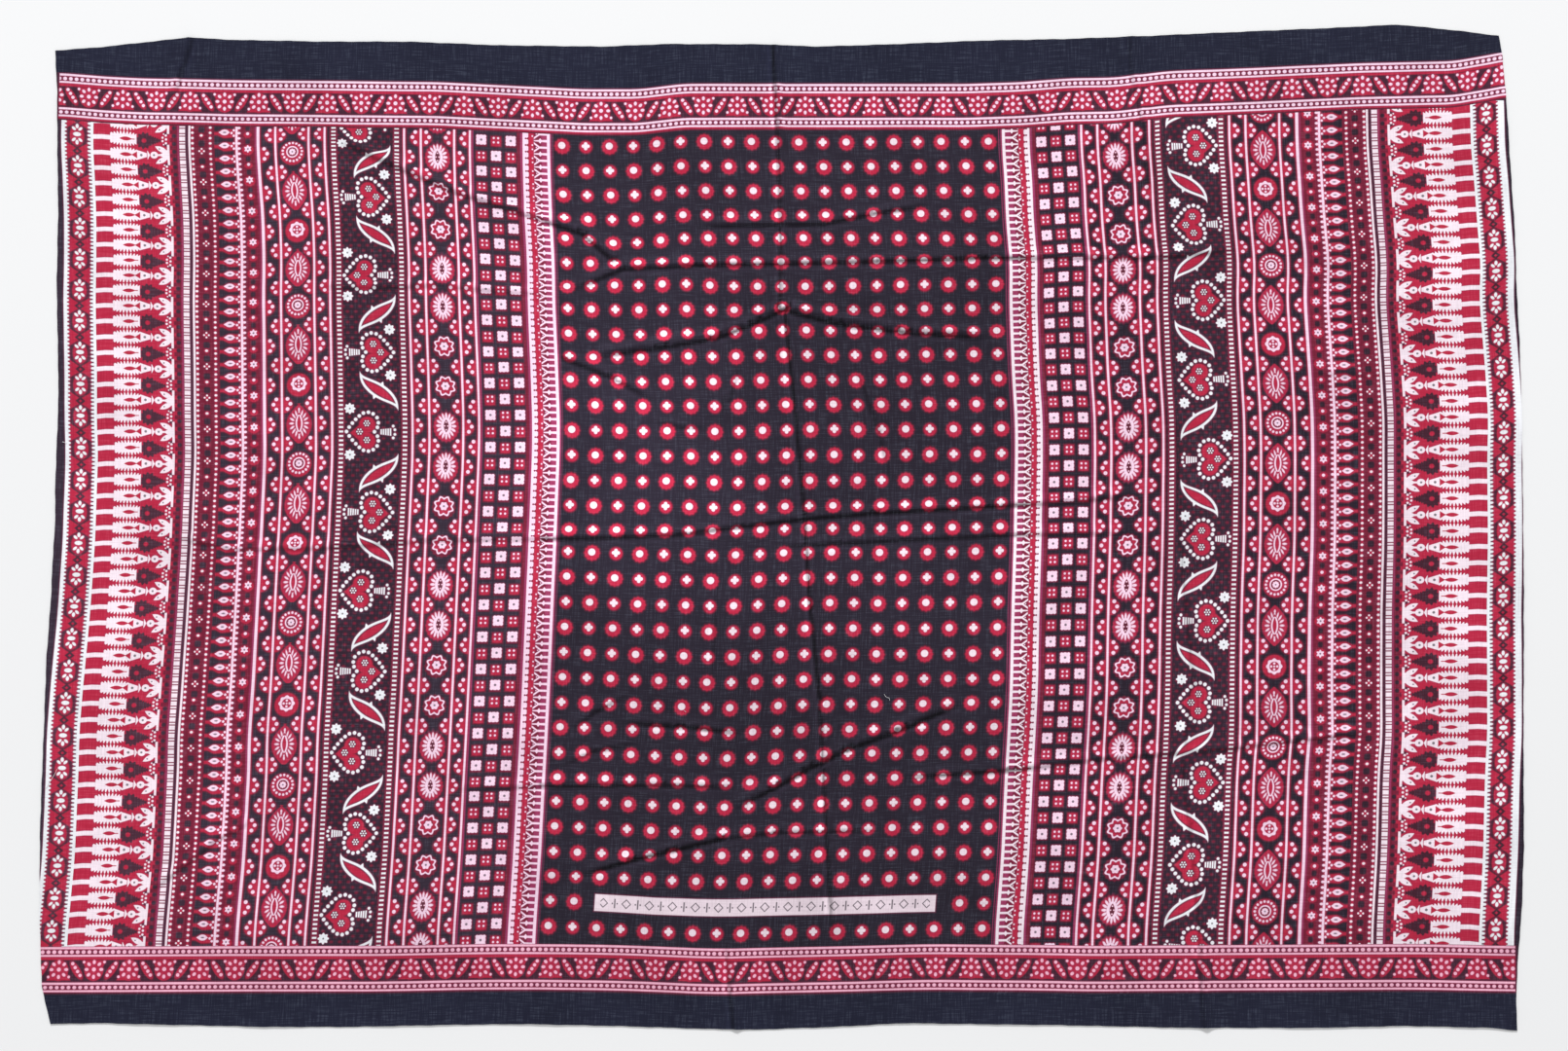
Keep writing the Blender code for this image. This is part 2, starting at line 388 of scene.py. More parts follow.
def fringePrint(x, v, w, start, edge):
    # edge: where the outer white strip starts
    tooth, _ = repeat(v, pitchComb / 4, start)
    outer = low(high(edge - x, x - 6.3), oval(x - 6.3, tooth, 2.1, 1.35))
    inner = low(bar(x - 36.0, 1.7), oval(x - 33.6, tooth, 2.6, 1.4))
    y, _ = repeat(v, pitchPair, start)
    middle = x - 19.7
    side, up = abs(middle), abs(y)
    along, athwart = turned(side - 3.5, up - 6.1, 41)
    flower = low(oval(middle, y, 4.2, 2.3), oval(middle, up - 8.9, 1.7, 2.5),
                 oval(along, athwart, 2.5, 1.45))
    inkUp = abs(repeat(w, pitchPair, start)[0])
    body = oval(middle, inkUp, 8.2, 12.0)
    hexagon = high(inkUp + side * 0.62 - 14.6, side - 11.3, -body)
    diamond = side * 0.85 + abs(inkUp - pitchComb)
    lattice = high(low(diamond - 4.6, abs(hexagon) - 0.4), 1.5 - diamond)
    return {"red": bar(x - 19.4, 12.2), "dark": low(hexagon, lattice, x - edge),
            "white": low(outer, inner, flower), "fringe": bar(x - 29.6, 1.8)}


def combPrint(x, v, w, start):
    row, _ = repeat(v + (9.0 - x).math("MAXIMUM", 0.0) * 0.12, pitchComb, start)
    lily, _ = repeat(v, pitchPair, start)
    bloom, _ = repeat(w, pitchPair, start + pitchComb)
    cluster, _ = repeat(v, pitchPair, start + pitchComb)
    rowUp, lilyUp, bloomUp, clusterUp = abs(row), abs(lily), abs(bloom), abs(cluster)
    bars = high(rowUp - 2.45, bar(x - 8.6, 10.4))
    far = (x - 33.2) / 14.2
    tips = 8.55 - 2.7 * far * far
    fan = (x - 33.2) / (rowUp * 0.055 + 1.0) * (2 * math.pi / 2.62)
    feather = high(rowUp - tips + (0.5 - fan.cos() * 0.5) * (tips - 4.9), abs(x - 32.6) - 14.3)
    lens = low(blade(x - 35.2, row, 6.9, 2.2), block(x - 42.2, row, 2.6, 0.5))
    key = high(lilyUp - (x - 41.0) * 0.62, bar(x - 44.4, 2.9))
    neck = low(high(lilyUp - 20.9 + x * 0.325, bar(x - 52.2, 5.6)),
               high(lilyUp - (61.3 - x) * 1.9, lilyUp - 4.7, bar(x - 60.0, 1.5)),
               oval(x - 65.8, lily, 4.1, 3.8), block(x - 70.5, lily, 5.0, 1.0),
               high(lilyUp - (x - 71.0) * 0.62, bar(x - 77.0, 5.4)))
    along, athwart = turned(x - 74.2, lilyUp - 6.0, -28)
    leaf = blade(along, athwart, 7.9, 2.8)
    segment = high(bar(x - 81.4, 1.2), lilyUp - 11.4)
    dots = low(oval(x - 79.0, clusterUp - 4.3, 1.2), oval(x - 75.4, clusterUp - 1.9, 1.15),
               oval(x - 79.2, cluster, 1.2), oval(x - 76.6, clusterUp - 5.8, 0.75))
    head = high(lobed(x - 55.3, bloom, 8.7, 1.0, 11), 46.6 - x)
    barbs = (x * (2 * math.pi / 2.5)).cos() * 0.7
    stem = high(bloomUp - (76.2 - x) * 0.39 - barbs, bar(x - 66.8, 6.6))
    corner = high(abs(lilyUp - 10.8) - (x - 75.0) * 0.42, bar(x - 78.3, 3.0))
    pupils = low(oval(x - 51.8, lily, 1.4), oval(x - 65.6, lily, 1.15),
                 oval(x - 71.8, lilyUp - 6.9, 0.85))
    heart = oval(x - 55.1, bloom, 2.5, 2.4)
    return {"red": high(-x, x - 83.4), "dark": low(high(low(head, stem), -heart), corner),
            "white": low(bars, feather, neck, leaf, segment, dots),
            "redOver": low(lens, key), "darkOver": pupils}


def beadPrint(x, v, w, start):
    half, _ = repeat(v, pitchComb / 2, start + 4.85)
    blob, _ = repeat(w, pitchComb / 2, start + 4.85 + pitchComb / 4)
    bead, _ = repeat(v, pitchBead, start + 2.9)
    quad, _ = repeat(v, pitchPair, start)
    single, _ = repeat(v, pitchPair, start + pitchComb)
    square = abs(repeat(w, pitchPair, start + pitchComb)[0]) - 7.65
    rungs = high(bar(x - 13.6, 3.1), low(pitchComb / 4 - abs(half) - 0.85, abs(half) - 2.25))
    line = bar(x - 21.4, 1.1)
    dots = low(oval(x - 24.6, bead, 1.55, 1.35), oval(x - 43.9, bead, 1.5, 1.3))
    side = abs(x - 34.4)
    four = oval(abs(side - abs(quad)) - 2.5, abs(side + abs(quad)) - 2.5, 1.45)
    pip = lobed(x - 34.5, square, 3.75, -0.3, 4)
    return {"wash": bar(x - 24.6, 26.0),
            "red": low(bar(x - 43.9, 1.1), high(bar(x - 0.6, 1.7), abs(blob) - 2.0), bar(x - 24.6, 1.0),
                       low(abs(quad) + abs(x - 34.4), abs(single) + abs(x - 34.4)) - 3.4),
            "dark": low(oval(x - 4.8, blob, 2.3, 2.3), pip, bar(x - 18.2, 1.9)),
            "white": low(rungs, line, dots, four, oval(x - 34.3, single, 1.6, 1.35)),
            "fringe": bar(x - 9.0, 0.8)}


def eyePrint(x, v, w, start, starStart):
    y, _ = repeat(v, pitchEye, start)
    ink, _ = repeat(w, pitchEye, start)
    inkUp = abs(ink)
    bead, _ = repeat(v, pitchBead, starStart + 0.9)
    swell = ((x - 3.4) * 0.5).math("MAXIMUM", 0.0).math("MINIMUM", 3.3)
    drop = high(inkUp - 1.6 - swell + (x - 13.0).math("MAXIMUM", 0.0) * 0.09, bar(x - 11.0, 13.0))
    eye = low(oval(x - 11.1, y, 4.6, 3.15), blade(x - 10.8, y, 6.1, 2.55))
    trio = low(oval(x - 18.8, y + 0.8, 1.3), oval(x - 21.2, abs(y + 0.8) - 3.0, 1.3))
    line = bar(x - 24.1, 1.25)
    dots = oval(x - 26.6, bead, 1.9, 1.4)
    star, _ = repeat(v, pitchPair, starStart)
    single, _ = repeat(v, pitchPair, starStart + pitchComb)
    inkStar, _ = repeat(w, pitchPair, starStart)
    seed = abs(repeat(w, pitchPair, starStart + pitchComb)[0])
    bloom = lobed(x - 36.2, star, 3.45, 0.7, 6, math.pi / 6)
    pip = lobed(x - 36.2, (seed - 7.5) * 0.88, 2.75, -0.2, 4)
    return {"wash": bar(x - 34.6, 13.8),
            "red": low(drop, oval(x - 36.2, inkStar, 6.2, 5.6), oval(x - 36.2, seed + 0.2, 4.4, 3.4),
                       bar(x - 47.9, 1.9), bar(x - 24.4, 2.3)),
            "dark": pip, "fringe": bar(x - 45.0, 1.1),
            "white": low(eye, trio, line, dots, bloom, oval(x - 36.2, single, 1.65), bar(x - 47.4, 1.5)),
            "darkOver": low(oval(x - 11.2, y, 1.9, 0.8), oval(x - 36.2, star, 1.0))}


def scallopPair(x, v, w, start, lines):
    # rows of half rounds beside four lines, each standing between those of the row it faces
    near, _ = repeat(v, pitchRose, start)
    mid, _ = repeat(v, pitchRose, start + pitchRose / 2)
    inkNear, _ = repeat(w, pitchRose, start)
    inkMid, _ = repeat(w, pitchRose, start + pitchRose / 2)
    first, second, third, fourth = lines
    rows = ((x - first, near, inkNear), (second - x, mid, inkMid), (x - second, mid, inkMid),
            (third - x, mid, inkMid), (x - third, near, inkNear), (fourth - x, mid, inkMid))
    reds, whites = [], []
    for reach, along, ink in rows:
        red, white = useGroup(x.tree, "scallop", Reach=reach, Along=along, InkAlong=ink)
        reds.append(red)
        whites.append(white)
    rails = low(*[bar(x - place, 1.1) for place in lines])
    return low(*reds, rails - 0.9), low(*whites, rails), near, inkNear


def rosePrint(x, v, w, start):
    red, white, y, ink = scallopPair(x, v, w, start, (-0.7, 17.7, 54.0, 71.5))
    _, count = repeat(v, pitchRose, start)
    middle = x - 36.0
    longOff = (1.0 - alternate(count)) * absent      # every other one is a long oval
    round1 = isCount(count, 4.0, 0.0)
    crown1 = isCount(count, 4.0, 2.0)
    beads = low(petals(middle, y, 17, 10.5, 1.25, 1.35), abs(oval(middle, y, 5.9)) - 0.7,
                lobed(middle, y, 3.4, 0.3, 8))
    lens = blade(y, middle, 10.2, 3.0)
    rays = high(petals(middle, y, 16, 8.0, 0.8, 2.3, 1.45), 1.3 - lens)
    ovalWhite = low(high(abs(lens) - 0.8, abs(y) - 9.2), rays, oval(middle, abs(y) - 15.2, 1.0, 1.8))
    crown = low(high(lobed(middle, y, 8.1, 0.6, 8), -oval(middle, y, 5.2)),
                petals(middle, y, 4, 3.2, 1.25, 1.25), oval(middle, y, 1.0))
    white = low(white, beads + round1, ovalWhite + longOff, crown + crown1)
    red = low(red, oval(middle, ink, 13.3) + round1,
              low(blade(ink, middle, 22.0, 13.4), oval(middle, ink, 12.4, 17.5)) + longOff,
              oval(middle, ink, 12.6) + crown1)
    return {"red": red, "white": white,
            "darkOver": low(oval(middle, y, 0.9), abs(oval(middle, y, 4.4)) - 0.45) + round1}


def starPrint(x, v, w, start):
    red, white, y, ink = scallopPair(x, v, w, start, (4.2, 22.4, 58.9, 76.0))
    _, count = repeat(v, pitchRose, start)
    middle = x - 40.5
    later = (abs((count - 0.5).math("WRAP", 2.0, -2.0)) - 1.0).math("GREATER_THAN", 0.0)
    eyeOff = later * absent               # two ovals, then two stars
    starOff = (1.0 - later) * absent
    rays = petals(middle, y, 16, 8.2, 1.1, 2.6, 1.33)
    hub = oval(middle, y, 5.8, 9.4)
    lens = blade(y, middle, 7.2, 2.7)
    eye = low(high(low(rays, hub), -lens), oval(abs(middle) - 1.7, y, 0.75),
              oval(middle, abs(y) - 4.2, 0.75))
    outline = lobed(middle, y, 9.3, 1.15, 8, math.pi / 8)
    star = low(abs(outline) - 1.0, lobed(middle, y, 4.3, 0.45, 6))
    white = low(white, eye + eyeOff, star + starOff)
    spread = lobed(middle, ink, 12.6, 0.5, 16)
    red = low(red, lobed(middle, ink * 0.86, 13.4, 0.35, 20) + eyeOff,
              high(outline + 0.9, -oval(middle, y, 5.3)) + starOff)
    return {"wash": spread + starOff, "red": red, "white": white,
            "darkOver": low(oval(middle, y, 1.1) + starOff,
                            high(lens + 0.3, 0.9 - oval(abs(middle) - 1.7, y, 0.1),
                                 0.9 - oval(middle, abs(y) - 4.2, 0.1)) + eyeOff)}


heartBeads = (      # inwards from the tip and up from the middle line, mm; each has a twin below
    (0.0, 0.0), (2.9, 4.8), (6.3, 9.2), (10.0, 13.3), (13.9, 17.1), (18.4, 20.3), (23.8, 21.2),
    (28.9, 19.5), (33.1, 15.4), (34.4, 9.8), (33.4, 4.8), (30.2, 0.0),
)


def heartBody(tree, x, y, ink):
    # a heart lying along x, its tip at 0, ringed with beads; a tail of bars stands behind it
    up, inkUp = abs(y), abs(ink)
    beads = low(*[oval(x - a, up - b, 1.95) for a, b in heartBeads])
    fill = low(oval(x - 22.4, inkUp - 8.7, 9.4), high(inkUp * 0.75 - (x - 3.4) * 0.66, x - 24.0))
    seeds, grounds = [], []
    for a, b in ((14.0, 0.0), (21.9, 9.1)):
        place = x - a, up - b
        seeds += [petals(*place, 6, 2.7, 0.85, 0.85), oval(*place, 0.85)]
        grounds.append(oval(*place, 4.1))
    bars = high(up - (x - 36.0) * 0.12 - 2.6, bar(x - 42.5, 6.1),
                abs((x - 37.5).math("WRAP", 1.25, -1.25)) - 0.8)
    dots = low(oval(x - 50.4, up - 6.4, 1.5), oval(x - 52.2, up - 2.5, 1.5))
    return [fill, high(low(*grounds), fill + 0.6), low(beads, bars, dots, high(low(*seeds), fill))]


def leafBody(tree, s, n):
    # a pointed leaf along s, bent like a long S
    t = s / 29.5
    middle = 6.3 * t * (1.0 - t * t * t * t)
    half = 8.1 * (1.0 - t * t).math("MAXIMUM", 0.0).math("POWER", 1.25)
    past = (abs(s) - 29.5).math("MAXIMUM", 0.0) * 9.0
    upper = n - middle - half + past
    lower = middle - n - half + past
    thorns = low(high(abs(s + 2.4 + upper * 0.5) - 1.9 + upper * 0.55, -1.0 - upper, upper - 3.0),
                 high(abs(s - 0.8 - lower * 0.5) - 1.9 + lower * 0.55, -1.0 - lower, lower - 3.0))
    return [(abs(n - middle) - half + past) * 0.85, thorns]


makeGroup("beadedHeart", [("X", number, 0.0), ("Y", number, 0.0), ("Ink", number, 0.0)],
          [("Red", number), ("Dark", number), ("White", number)], heartBody)
makeGroup("bentLeaf", [("Along", number, 0.0), ("Across", number, 0.0)],
          [("Distance", number), ("Thorns", number)], leafBody)


def heartPrint(x, v, w, start, aside):
    # going up: a heart with its tip to the left, a leaf, one with its tip to the right, a leaf
    dash, _ = repeat(v, pitchComb / 3.6, start)
    rail = abs(x - aside) - 34.5
    dashes = block(rail, dash, 2.5, 1.15) + 0.15
    y, count = repeat(v, pitchHeart, start)
    ink, _ = repeat(w, pitchHeart, start)
    reach = x * (1.0 - alternate(count) * 2.0)
    red, dark, white = useGroup(x.tree, "beadedHeart", X=reach + 26.2, Y=y, Ink=ink)
    blooms = lobed(reach + 22.4, abs(y) - 25.2, 5.3, 0.75, 8)
    leafY, leafCount = repeat(v, pitchHeart, start + pitchHeart / 2)
    leafY = leafY * (1.0 - alternate(leafCount) * 2.0)
    leafX = x - aside * 3.4      # the leaves stand further aside than the rails do
    s = leafX * 0.69 - leafY * 0.724
    n = leafX * 0.724 + leafY * 0.69 - 1.8
    leaf, thorns = useGroup(x.tree, "bentLeaf", Along=s, Across=n)
    speckY, row = repeat(w, 5.8, start)
    speckX, _ = repeat(x + alternate(row) * 4.6, 9.2, 0.0)
    specks = high(oval(speckX, speckY, 1.75, 1.35), abs(x) - 31.0, 6.0 - red, 2.0 - leaf)
    return {"wash": low(specks, abs(rail) - 4.2), "red": low(red + 0.6, leaf + 3.4),
            "dark": dark, "white": low(dashes, white, blooms, high(leaf, -leaf - 2.3), thorns),
            "darkOver": oval(reach + 22.4, abs(y) - 25.2, 1.0)}


def checkPrint(x, v, w, start):
    y, row = repeat(v, pitchComb, start)
    ink, inkRow = repeat(w, pitchComb, start)
    column, count = repeat(x, 16.1, 10.3)
    flowerOff = alternate(row + count) * absent
    squareOff = (1.0 - alternate(row + count)) * absent
    inkSquareOff = (1.0 - alternate(inkRow + count)) * absent
    side, up, inkUp = abs(column), abs(y), abs(ink)
    bite = low(oval(side - 6.6, up - 2.2, 1.5), oval(side - 2.2, up - 6.6, 1.5))
    flower = high(high(side, up) - 5.5, side + up - 10.0, -bite)
    four = oval(side - 2.4, up - 2.4, 1.15)
    inside = bar(x - 26.4, 23.6)
    square = high(side, inkUp) - 4.9 + abs(side - inkUp) * -0.12
    return {"red": high(square + inkSquareOff, inside), "fringe": bar(x - 0.6, 1.0),
            "wash": low(high(side, inkUp) - 6.2, bar(x - 51.5, 2.5)),
            "white": high(low(flower + flowerOff, four + squareOff), inside),
            "darkOver": high(oval(column, y, 1.35) + flowerOff, inside)}


def latticePrint(x, v, w, start):
    y, _ = repeat(v, pitchEye, start)
    fork, _ = repeat(v, pitchEye, start + pitchEye / 2)
    notch, _ = repeat(v, pitchEye / 2, start + 2.1)
    up, forkUp, notchUp = abs(y), abs(fork), abs(notch)
    strip = high(bar(x - 6.1, 3.1), -oval(x - 6.4, notch, 1.05, 1.05),
                 0.55 - notchUp + (x - 7.6).math("MAXIMUM", 0.0) * 0.7
                 - (6.4 - x).math("MAXIMUM", 0.0) * 9.0)
    spike = high(up - 2.9 + abs(x - 22.2) * 1.25, bar(x - 22.2, 2.2))
    spindle = low(spike, high(up - 0.55 - (x - 15.4) * 0.06, bar(x - 22.6, 7.2)))
    arms = high(abs(forkUp - (21.6 - x) * 0.74) - 1.05, bar(x - 18.6, 3.2))
    stem = high(forkUp - 1.15, bar(x - 25.2, 4.7))
    line = bar(x - 31.2, 1.6)
    specks = oval(x - 13.7, forkUp - 2.3, 0.85)
    return {"wash": bar(x - 17.5, 16.0),
            "fringe": low(bar(x - 1.8, 1.5), bar(x - 26.6, 3.0), bar(x - 33.6, 1.0)),
            "red": bar(x - 12.2, 3.1),
            "white": low(strip, spindle, arms, stem, line, specks, oval(x - 18.0, fork, 0.6))}


field = {
    "columnPitch": 25.86,
    "rowPitch": 27.2,
    "firstColumn": -242.0,
    "firstRow": 433.4,
    "box": (-11.2, -410.2, 182.8, 8.9),      # middle and half sizes of the white box
    "mark": 12.4,                            # spacing of the plain marks in it
}


def fieldPrint(u, v, w):
    x, column = repeat(u, field["columnPitch"], field["firstColumn"])
    y, row = repeat(v, field["rowPitch"], field["firstRow"])
    ink, _ = repeat(w, field["rowPitch"], field["firstRow"])
    odd = alternate(row + column)
    discOff = odd * absent
    crossOff = (1.0 - odd) * absent
    side, up = abs(x), abs(y)
    disc = oval(x + 0.2, y, 3.9, 3.8)
    cross = low(oval(side - 2.5, up, 1.9), oval(side, up - 2.5, 1.9), oval(x, y, 1.5))
    middleX, middleY, halfX, halfY = field["box"]
    box = block(u - middleX, v - middleY, halfX, halfY)
    clear = high(bar(u - middleX, halfX + 14.0), bar(v - middleY, halfY + 4.0))
    mark, markCount = repeat(u, field["mark"], middleX)
    markOdd = abs(markCount.math("WRAP", 1.0, -1.0)) * absent
    markUp = abs(v - middleY)
    marks = low(abs(abs(mark) + markUp - 4.6) - 0.75 + markOdd,
                low(bar(mark, 0.75), oval(abs(mark) - 2.6, markUp, 0.9)) + (absent - markOdd))
    marks = high(marks, markUp - 5.0, bar(u - middleX, halfX - 6.0))
    red = low(lobed(x - 0.2, ink, 8.2, 0.3, 12) + discOff, oval(x - 0.2, ink, 6.6) + crossOff)
    return {"wash": high(oval(x - 0.2, ink, 7.8) + crossOff, -clear), "red": high(red, -clear),
            "white": low(high(low(disc + discOff, cross + crossOff), -clear), box),
            "darkOver": marks,
            "fringe": low(bar(u + 252.6, 0.8), bar(u - 235.0, 0.7))}


border = {
    "pitch": 37.45,
    "bead": 37.45 / 6,
}

borderSides = {
    # name: its upper white line, its first rosette, first beads of its two rows, how far its inks reach
    # past the lower line and the upper one, its left and right end; all mm
    "top": (495.7, 25.3, (5.2, 1.5), 4.2, 0.5, (-793.5, 782.0)),
    "bottom": (-457.2, 62.0, (0.0, 4.6), 2.0, 2.0, (-790.0, 776.0)),
}


def borderPrint(u, t, slip, start, beadStarts, inner, outer, ends):
    # t runs down from the upper white line to the lower one
    bead, _ = repeat(u, border["bead"], beadStarts[0])
    beadLow, _ = repeat(u, border["bead"], beadStarts[1])
    rails = low(bar(t, 1.1), bar(t - 8.1, 0.95), bar(t - 37.5, 1.1), bar(t - 45.4, 0.95))
    beads = low(oval(bead, t - 4.2, 2.1, 1.95), oval(beadLow, t - 41.5, 2.0, 1.75))
    x, count = repeat(u, border["pitch"], start)
    y = 22.6 - t
    way = alternate(count) * 2.0 - 1.0      # which side of a rosette its corner dots stand on
    flower = low(petals(x, y, 8, 7.8, 1.6, 2.1), oval(x, y, 2.1))
    corner = oval(abs(x) - 10.9, y * way - 7.8, 1.4)
    side, sideCount = repeat(u, border["pitch"], start + border["pitch"] / 2)
    lean = alternate(sideCount) * 2.0 - 1.0
    along, athwart = turned(side * lean, y, 56)
    leafDots = high(oval((along + 2.5).math("WRAP", 2.5, -2.5), athwart, 1.75), abs(along) - 9.4)
    inkY = y + slip
    inkAlong, inkAthwart = turned(side * lean, inkY, 56)
    leaf = oval(inkAlong, inkAthwart, 11.6, 4.2)
    disc = oval(x, inkY, 10.2, 11.2)
    shield = high(abs(x) * 0.9 - inkY * way * 0.42 - 7.2, abs(inkY) - 10.6, -inkY * way)
    inside = high(ends[0] - u, u - ends[1])
    panel = high(bar(t - 23.4, 13.4), -low(disc, shield, leaf))
    return {"wash": high(low(bar(t - 23.0, 15.0), bar(t - 4.2, 5.0), bar(t - 41.5, 5.2),
                             high(t - 45.4 - inner, 45.4 - t), high(-t - outer, t)), inside),
            "red": high(low(disc, shield, leaf, bar(t - 10.9, 1.5),
                            high(t - 44.0 - inner, 46.4 - t)), inside),
            "dark": high(low(high(panel, bar(t - 24.4, 11.6)), bar(t - 4.2, 0.9),
                             bar(t - 41.5, 0.9)), inside),
            "white": high(low(rails, beads, flower, corner, leafDots), inside)}


# the cloth's materials

bands = {
    # name: outer and inner place on the left, the same on the right, width as drawn; all mm
    "fringe": (-789.9, -752.6, 785.4, 748.8, 37.3),
    "comb": (-752.6, -669.5, 748.8, 657.6, 83.1),
    "bead": (-669.5, -621.2, 657.6, 608.6, 48.3),
    "eye": (-621.2, -572.6, 608.6, 558.0, 48.6),
    "rose": (-572.6, -497.3, 558.0, 482.0, 75.3),
    "heart": (-497.3, -418.5, 481.0, 402.8, 78.3),
    "star": (-418.5, -340.4, 402.8, 322.6, 78.1),
    "check": (-340.4, -288.0, 322.6, 271.2, 52.4),
    "lattice": (-288.0, -252.0, 271.2, 235.0, 36.0),
}

heartPlaces = {"left": (-459.4, 2.4), "right": (444.7, -2.6)}      # middle, how far its rails are aside
fringeEdges = {"left": 2.6, "right": -0.4}      # where its outer white strip starts, mm

starts = {      # where each band's first motif stands on the left and on the right, mm up the cloth
    "fringe": (15, 18), "comb": (-2, 3), "bead": (2.5, 33), "eye": (6, 8.5), "eyeStar": (4, 30),
    "rose": (67, 104), "heart": (101, 153), "star": (65, 62), "check": (17, 12), "lattice": (1, 8),
}

inkSlip = {"left": 1.3, "field": 0.9, "right": 0.2, "top": 1.0, "bottom": 1.0}      # mm

finish = {
    "roughness": 0.9,
    "sheen": 0.02,
    "specular": 0.12,
    "bump": 0.35,
    "coolPaper": (0.88, 0.89, 0.94, 1.0),
    "pinkPaper": (0.96, 0.69, 0.86, 1.0),
    "palePaper": (0.94, 0.80, 0.89, 1.0),
    "bottomPaper": (0.98, 0.51, 0.67, 1.0),
    "fieldPaper": (0.86, 0.72, 0.80, 1.0),
    "fieldNavy": (0.0235, 0.0185, 0.0310, 1.0),
    "leftPlum": (0.0400, 0.0255, 0.0430, 1.0),
    "rightPlum": (0.0255, 0.0165, 0.0290, 1.0),
    "borderPlum": (0.0520, 0.0190, 0.0360, 1.0),
    "heartPlum": (0.0380, 0.0180, 0.0330, 1.0),
}


def clothMaterial(name, drawPrint, slip=0.0, paper=None, ground=None):
    material = bpy.data.materials.new(name)
    material.use_nodes = True
    tree = material.node_tree
    shader = tree.nodes["Principled BSDF"]
    place = tree.nodes.new("ShaderNodeUVMap")
    place.uv_map = "printPlace"
    u, v = splitVector(tree, place.outputs[0])
    u = u * 1000.0
    v = v * 1000.0
    layers = drawPrint(u, v, v + slip) if drawPrint else {}
    names = {"wash": "Wash", "red": "Red", "dark": "Dark", "white": "White",
             "redOver": "RedOver", "darkOver": "DarkOver", "fringe": "Fringe"}
    inputs = {names[key]: value for key, value in layers.items()}
    if paper:
        inputs["Paper"] = paper
    if ground:
        inputs["Ground"] = ground
    ink, = useGroup(tree, "printInks", **inputs)
    tone, height, fleck = useGroup(tree, "plainWeave", U=u, V=v)
    # painted shade and highlight beside the creases, and broad patches of painted light and shade, come
    # from the mesh attribute and darken or lighten the colour
    crease = tree.nodes.new("ShaderNodeAttribute")
    crease.attribute_name = "paintedShadeAndLight"
    tone = tone * (Wire(tree, crease.outputs["Fac"]) + 1.0)
    shade = tree.nodes.new("ShaderNodeVectorMath")
    shade.operation = "SCALE"
    tree.links.new(ink.socket, shade.inputs[0])
    tree.links.new(tone.socket, shade.inputs["Scale"])
    shaded = Wire(tree, shade.outputs[0])
    fibres = mixColour(tree, fleck, shaded, weave["fleck"], "SCREEN")
    tree.links.new(fibres.socket, shader.inputs["Base Color"])
    bump = tree.nodes.new("ShaderNodeBump")
    bump.inputs["Strength"].default_value = finish["bump"]
    bump.inputs["Distance"].default_value = 0.0002
    tree.links.new(height.socket, bump.inputs["Height"])
    tree.links.new(bump.outputs[0], shader.inputs["Normal"])
    shader.inputs["Roughness"].default_value = finish["roughness"]
    shader.inputs["Sheen Weight"].default_value = finish["sheen"]
    shader.inputs["Specular IOR Level"].default_value = finish["specular"]
    return material


def bandMaterial(name, side):
    leftOuter, leftInner, rightOuter, rightInner, width = bands[name]
    outer, inner = (leftOuter, leftInner) if side == "left" else (rightOuter, rightInner)
    start = starts[name][0 if side == "left" else 1]
    starStart = starts["eyeStar"][0 if side == "left" else 1]
    scale = width / (inner - outer)

    def draw(u, v, w):
        if name == "heart":      # the one band that isn't mirrored on the right
            middle, aside = heartPlaces[side]
            return heartPrint(u - middle, v, w, start, aside)
        x = (u - outer) * scale
        if name == "eye":
            return eyePrint(x, v, w, start, starStart)
        if name == "fringe":
            return fringePrint(x, v, w, start, fringeEdges[side])
        return {"comb": combPrint, "bead": beadPrint, "rose": rosePrint,
                "star": starPrint, "check": checkPrint, "lattice": latticePrint}[name](x, v, w, start)

    papers = {"heart": finish["coolPaper"], "comb": finish["palePaper"],
              "fringe": finish["coolPaper"], "bead": finish["palePaper"],
              "lattice": finish["pinkPaper" if side == "left" else "palePaper"]}
    ground = finish["heartPlum"] if name == "heart" else finish[side + "Plum"]
    return clothMaterial(f"{side}_{name}_print", draw, inkSlip[side], papers.get(name, finish["pinkPaper"]),
                         ground)


def borderMaterial(side, paper):
    line, start, beadStarts, inner, outer, ends = borderSides[side]

    def draw(u, v, w):
        return borderPrint(u, line - v, inkSlip[side], start, beadStarts, inner, outer, ends)

    return clothMaterial(side + "_border_print", draw, 0.0, paper, finish["borderPlum"])


materials = {"plain": clothMaterial("plain_navy_cotton", None),
             "field": clothMaterial("field_print", fieldPrint, inkSlip["field"], finish["fieldPaper"],
                                    finish["fieldNavy"]),
             "top": borderMaterial("top", finish["pinkPaper"]),
             "bottom": borderMaterial("bottom", finish["bottomPaper"])}
for band in bands:
    for side in ("left", "right"):
        materials[f"{side}_{band}"] = bandMaterial(band, side)
print("materials:", len(materials))


# where the print lies: the laid cloth is pulled out of square and gathered at its creases

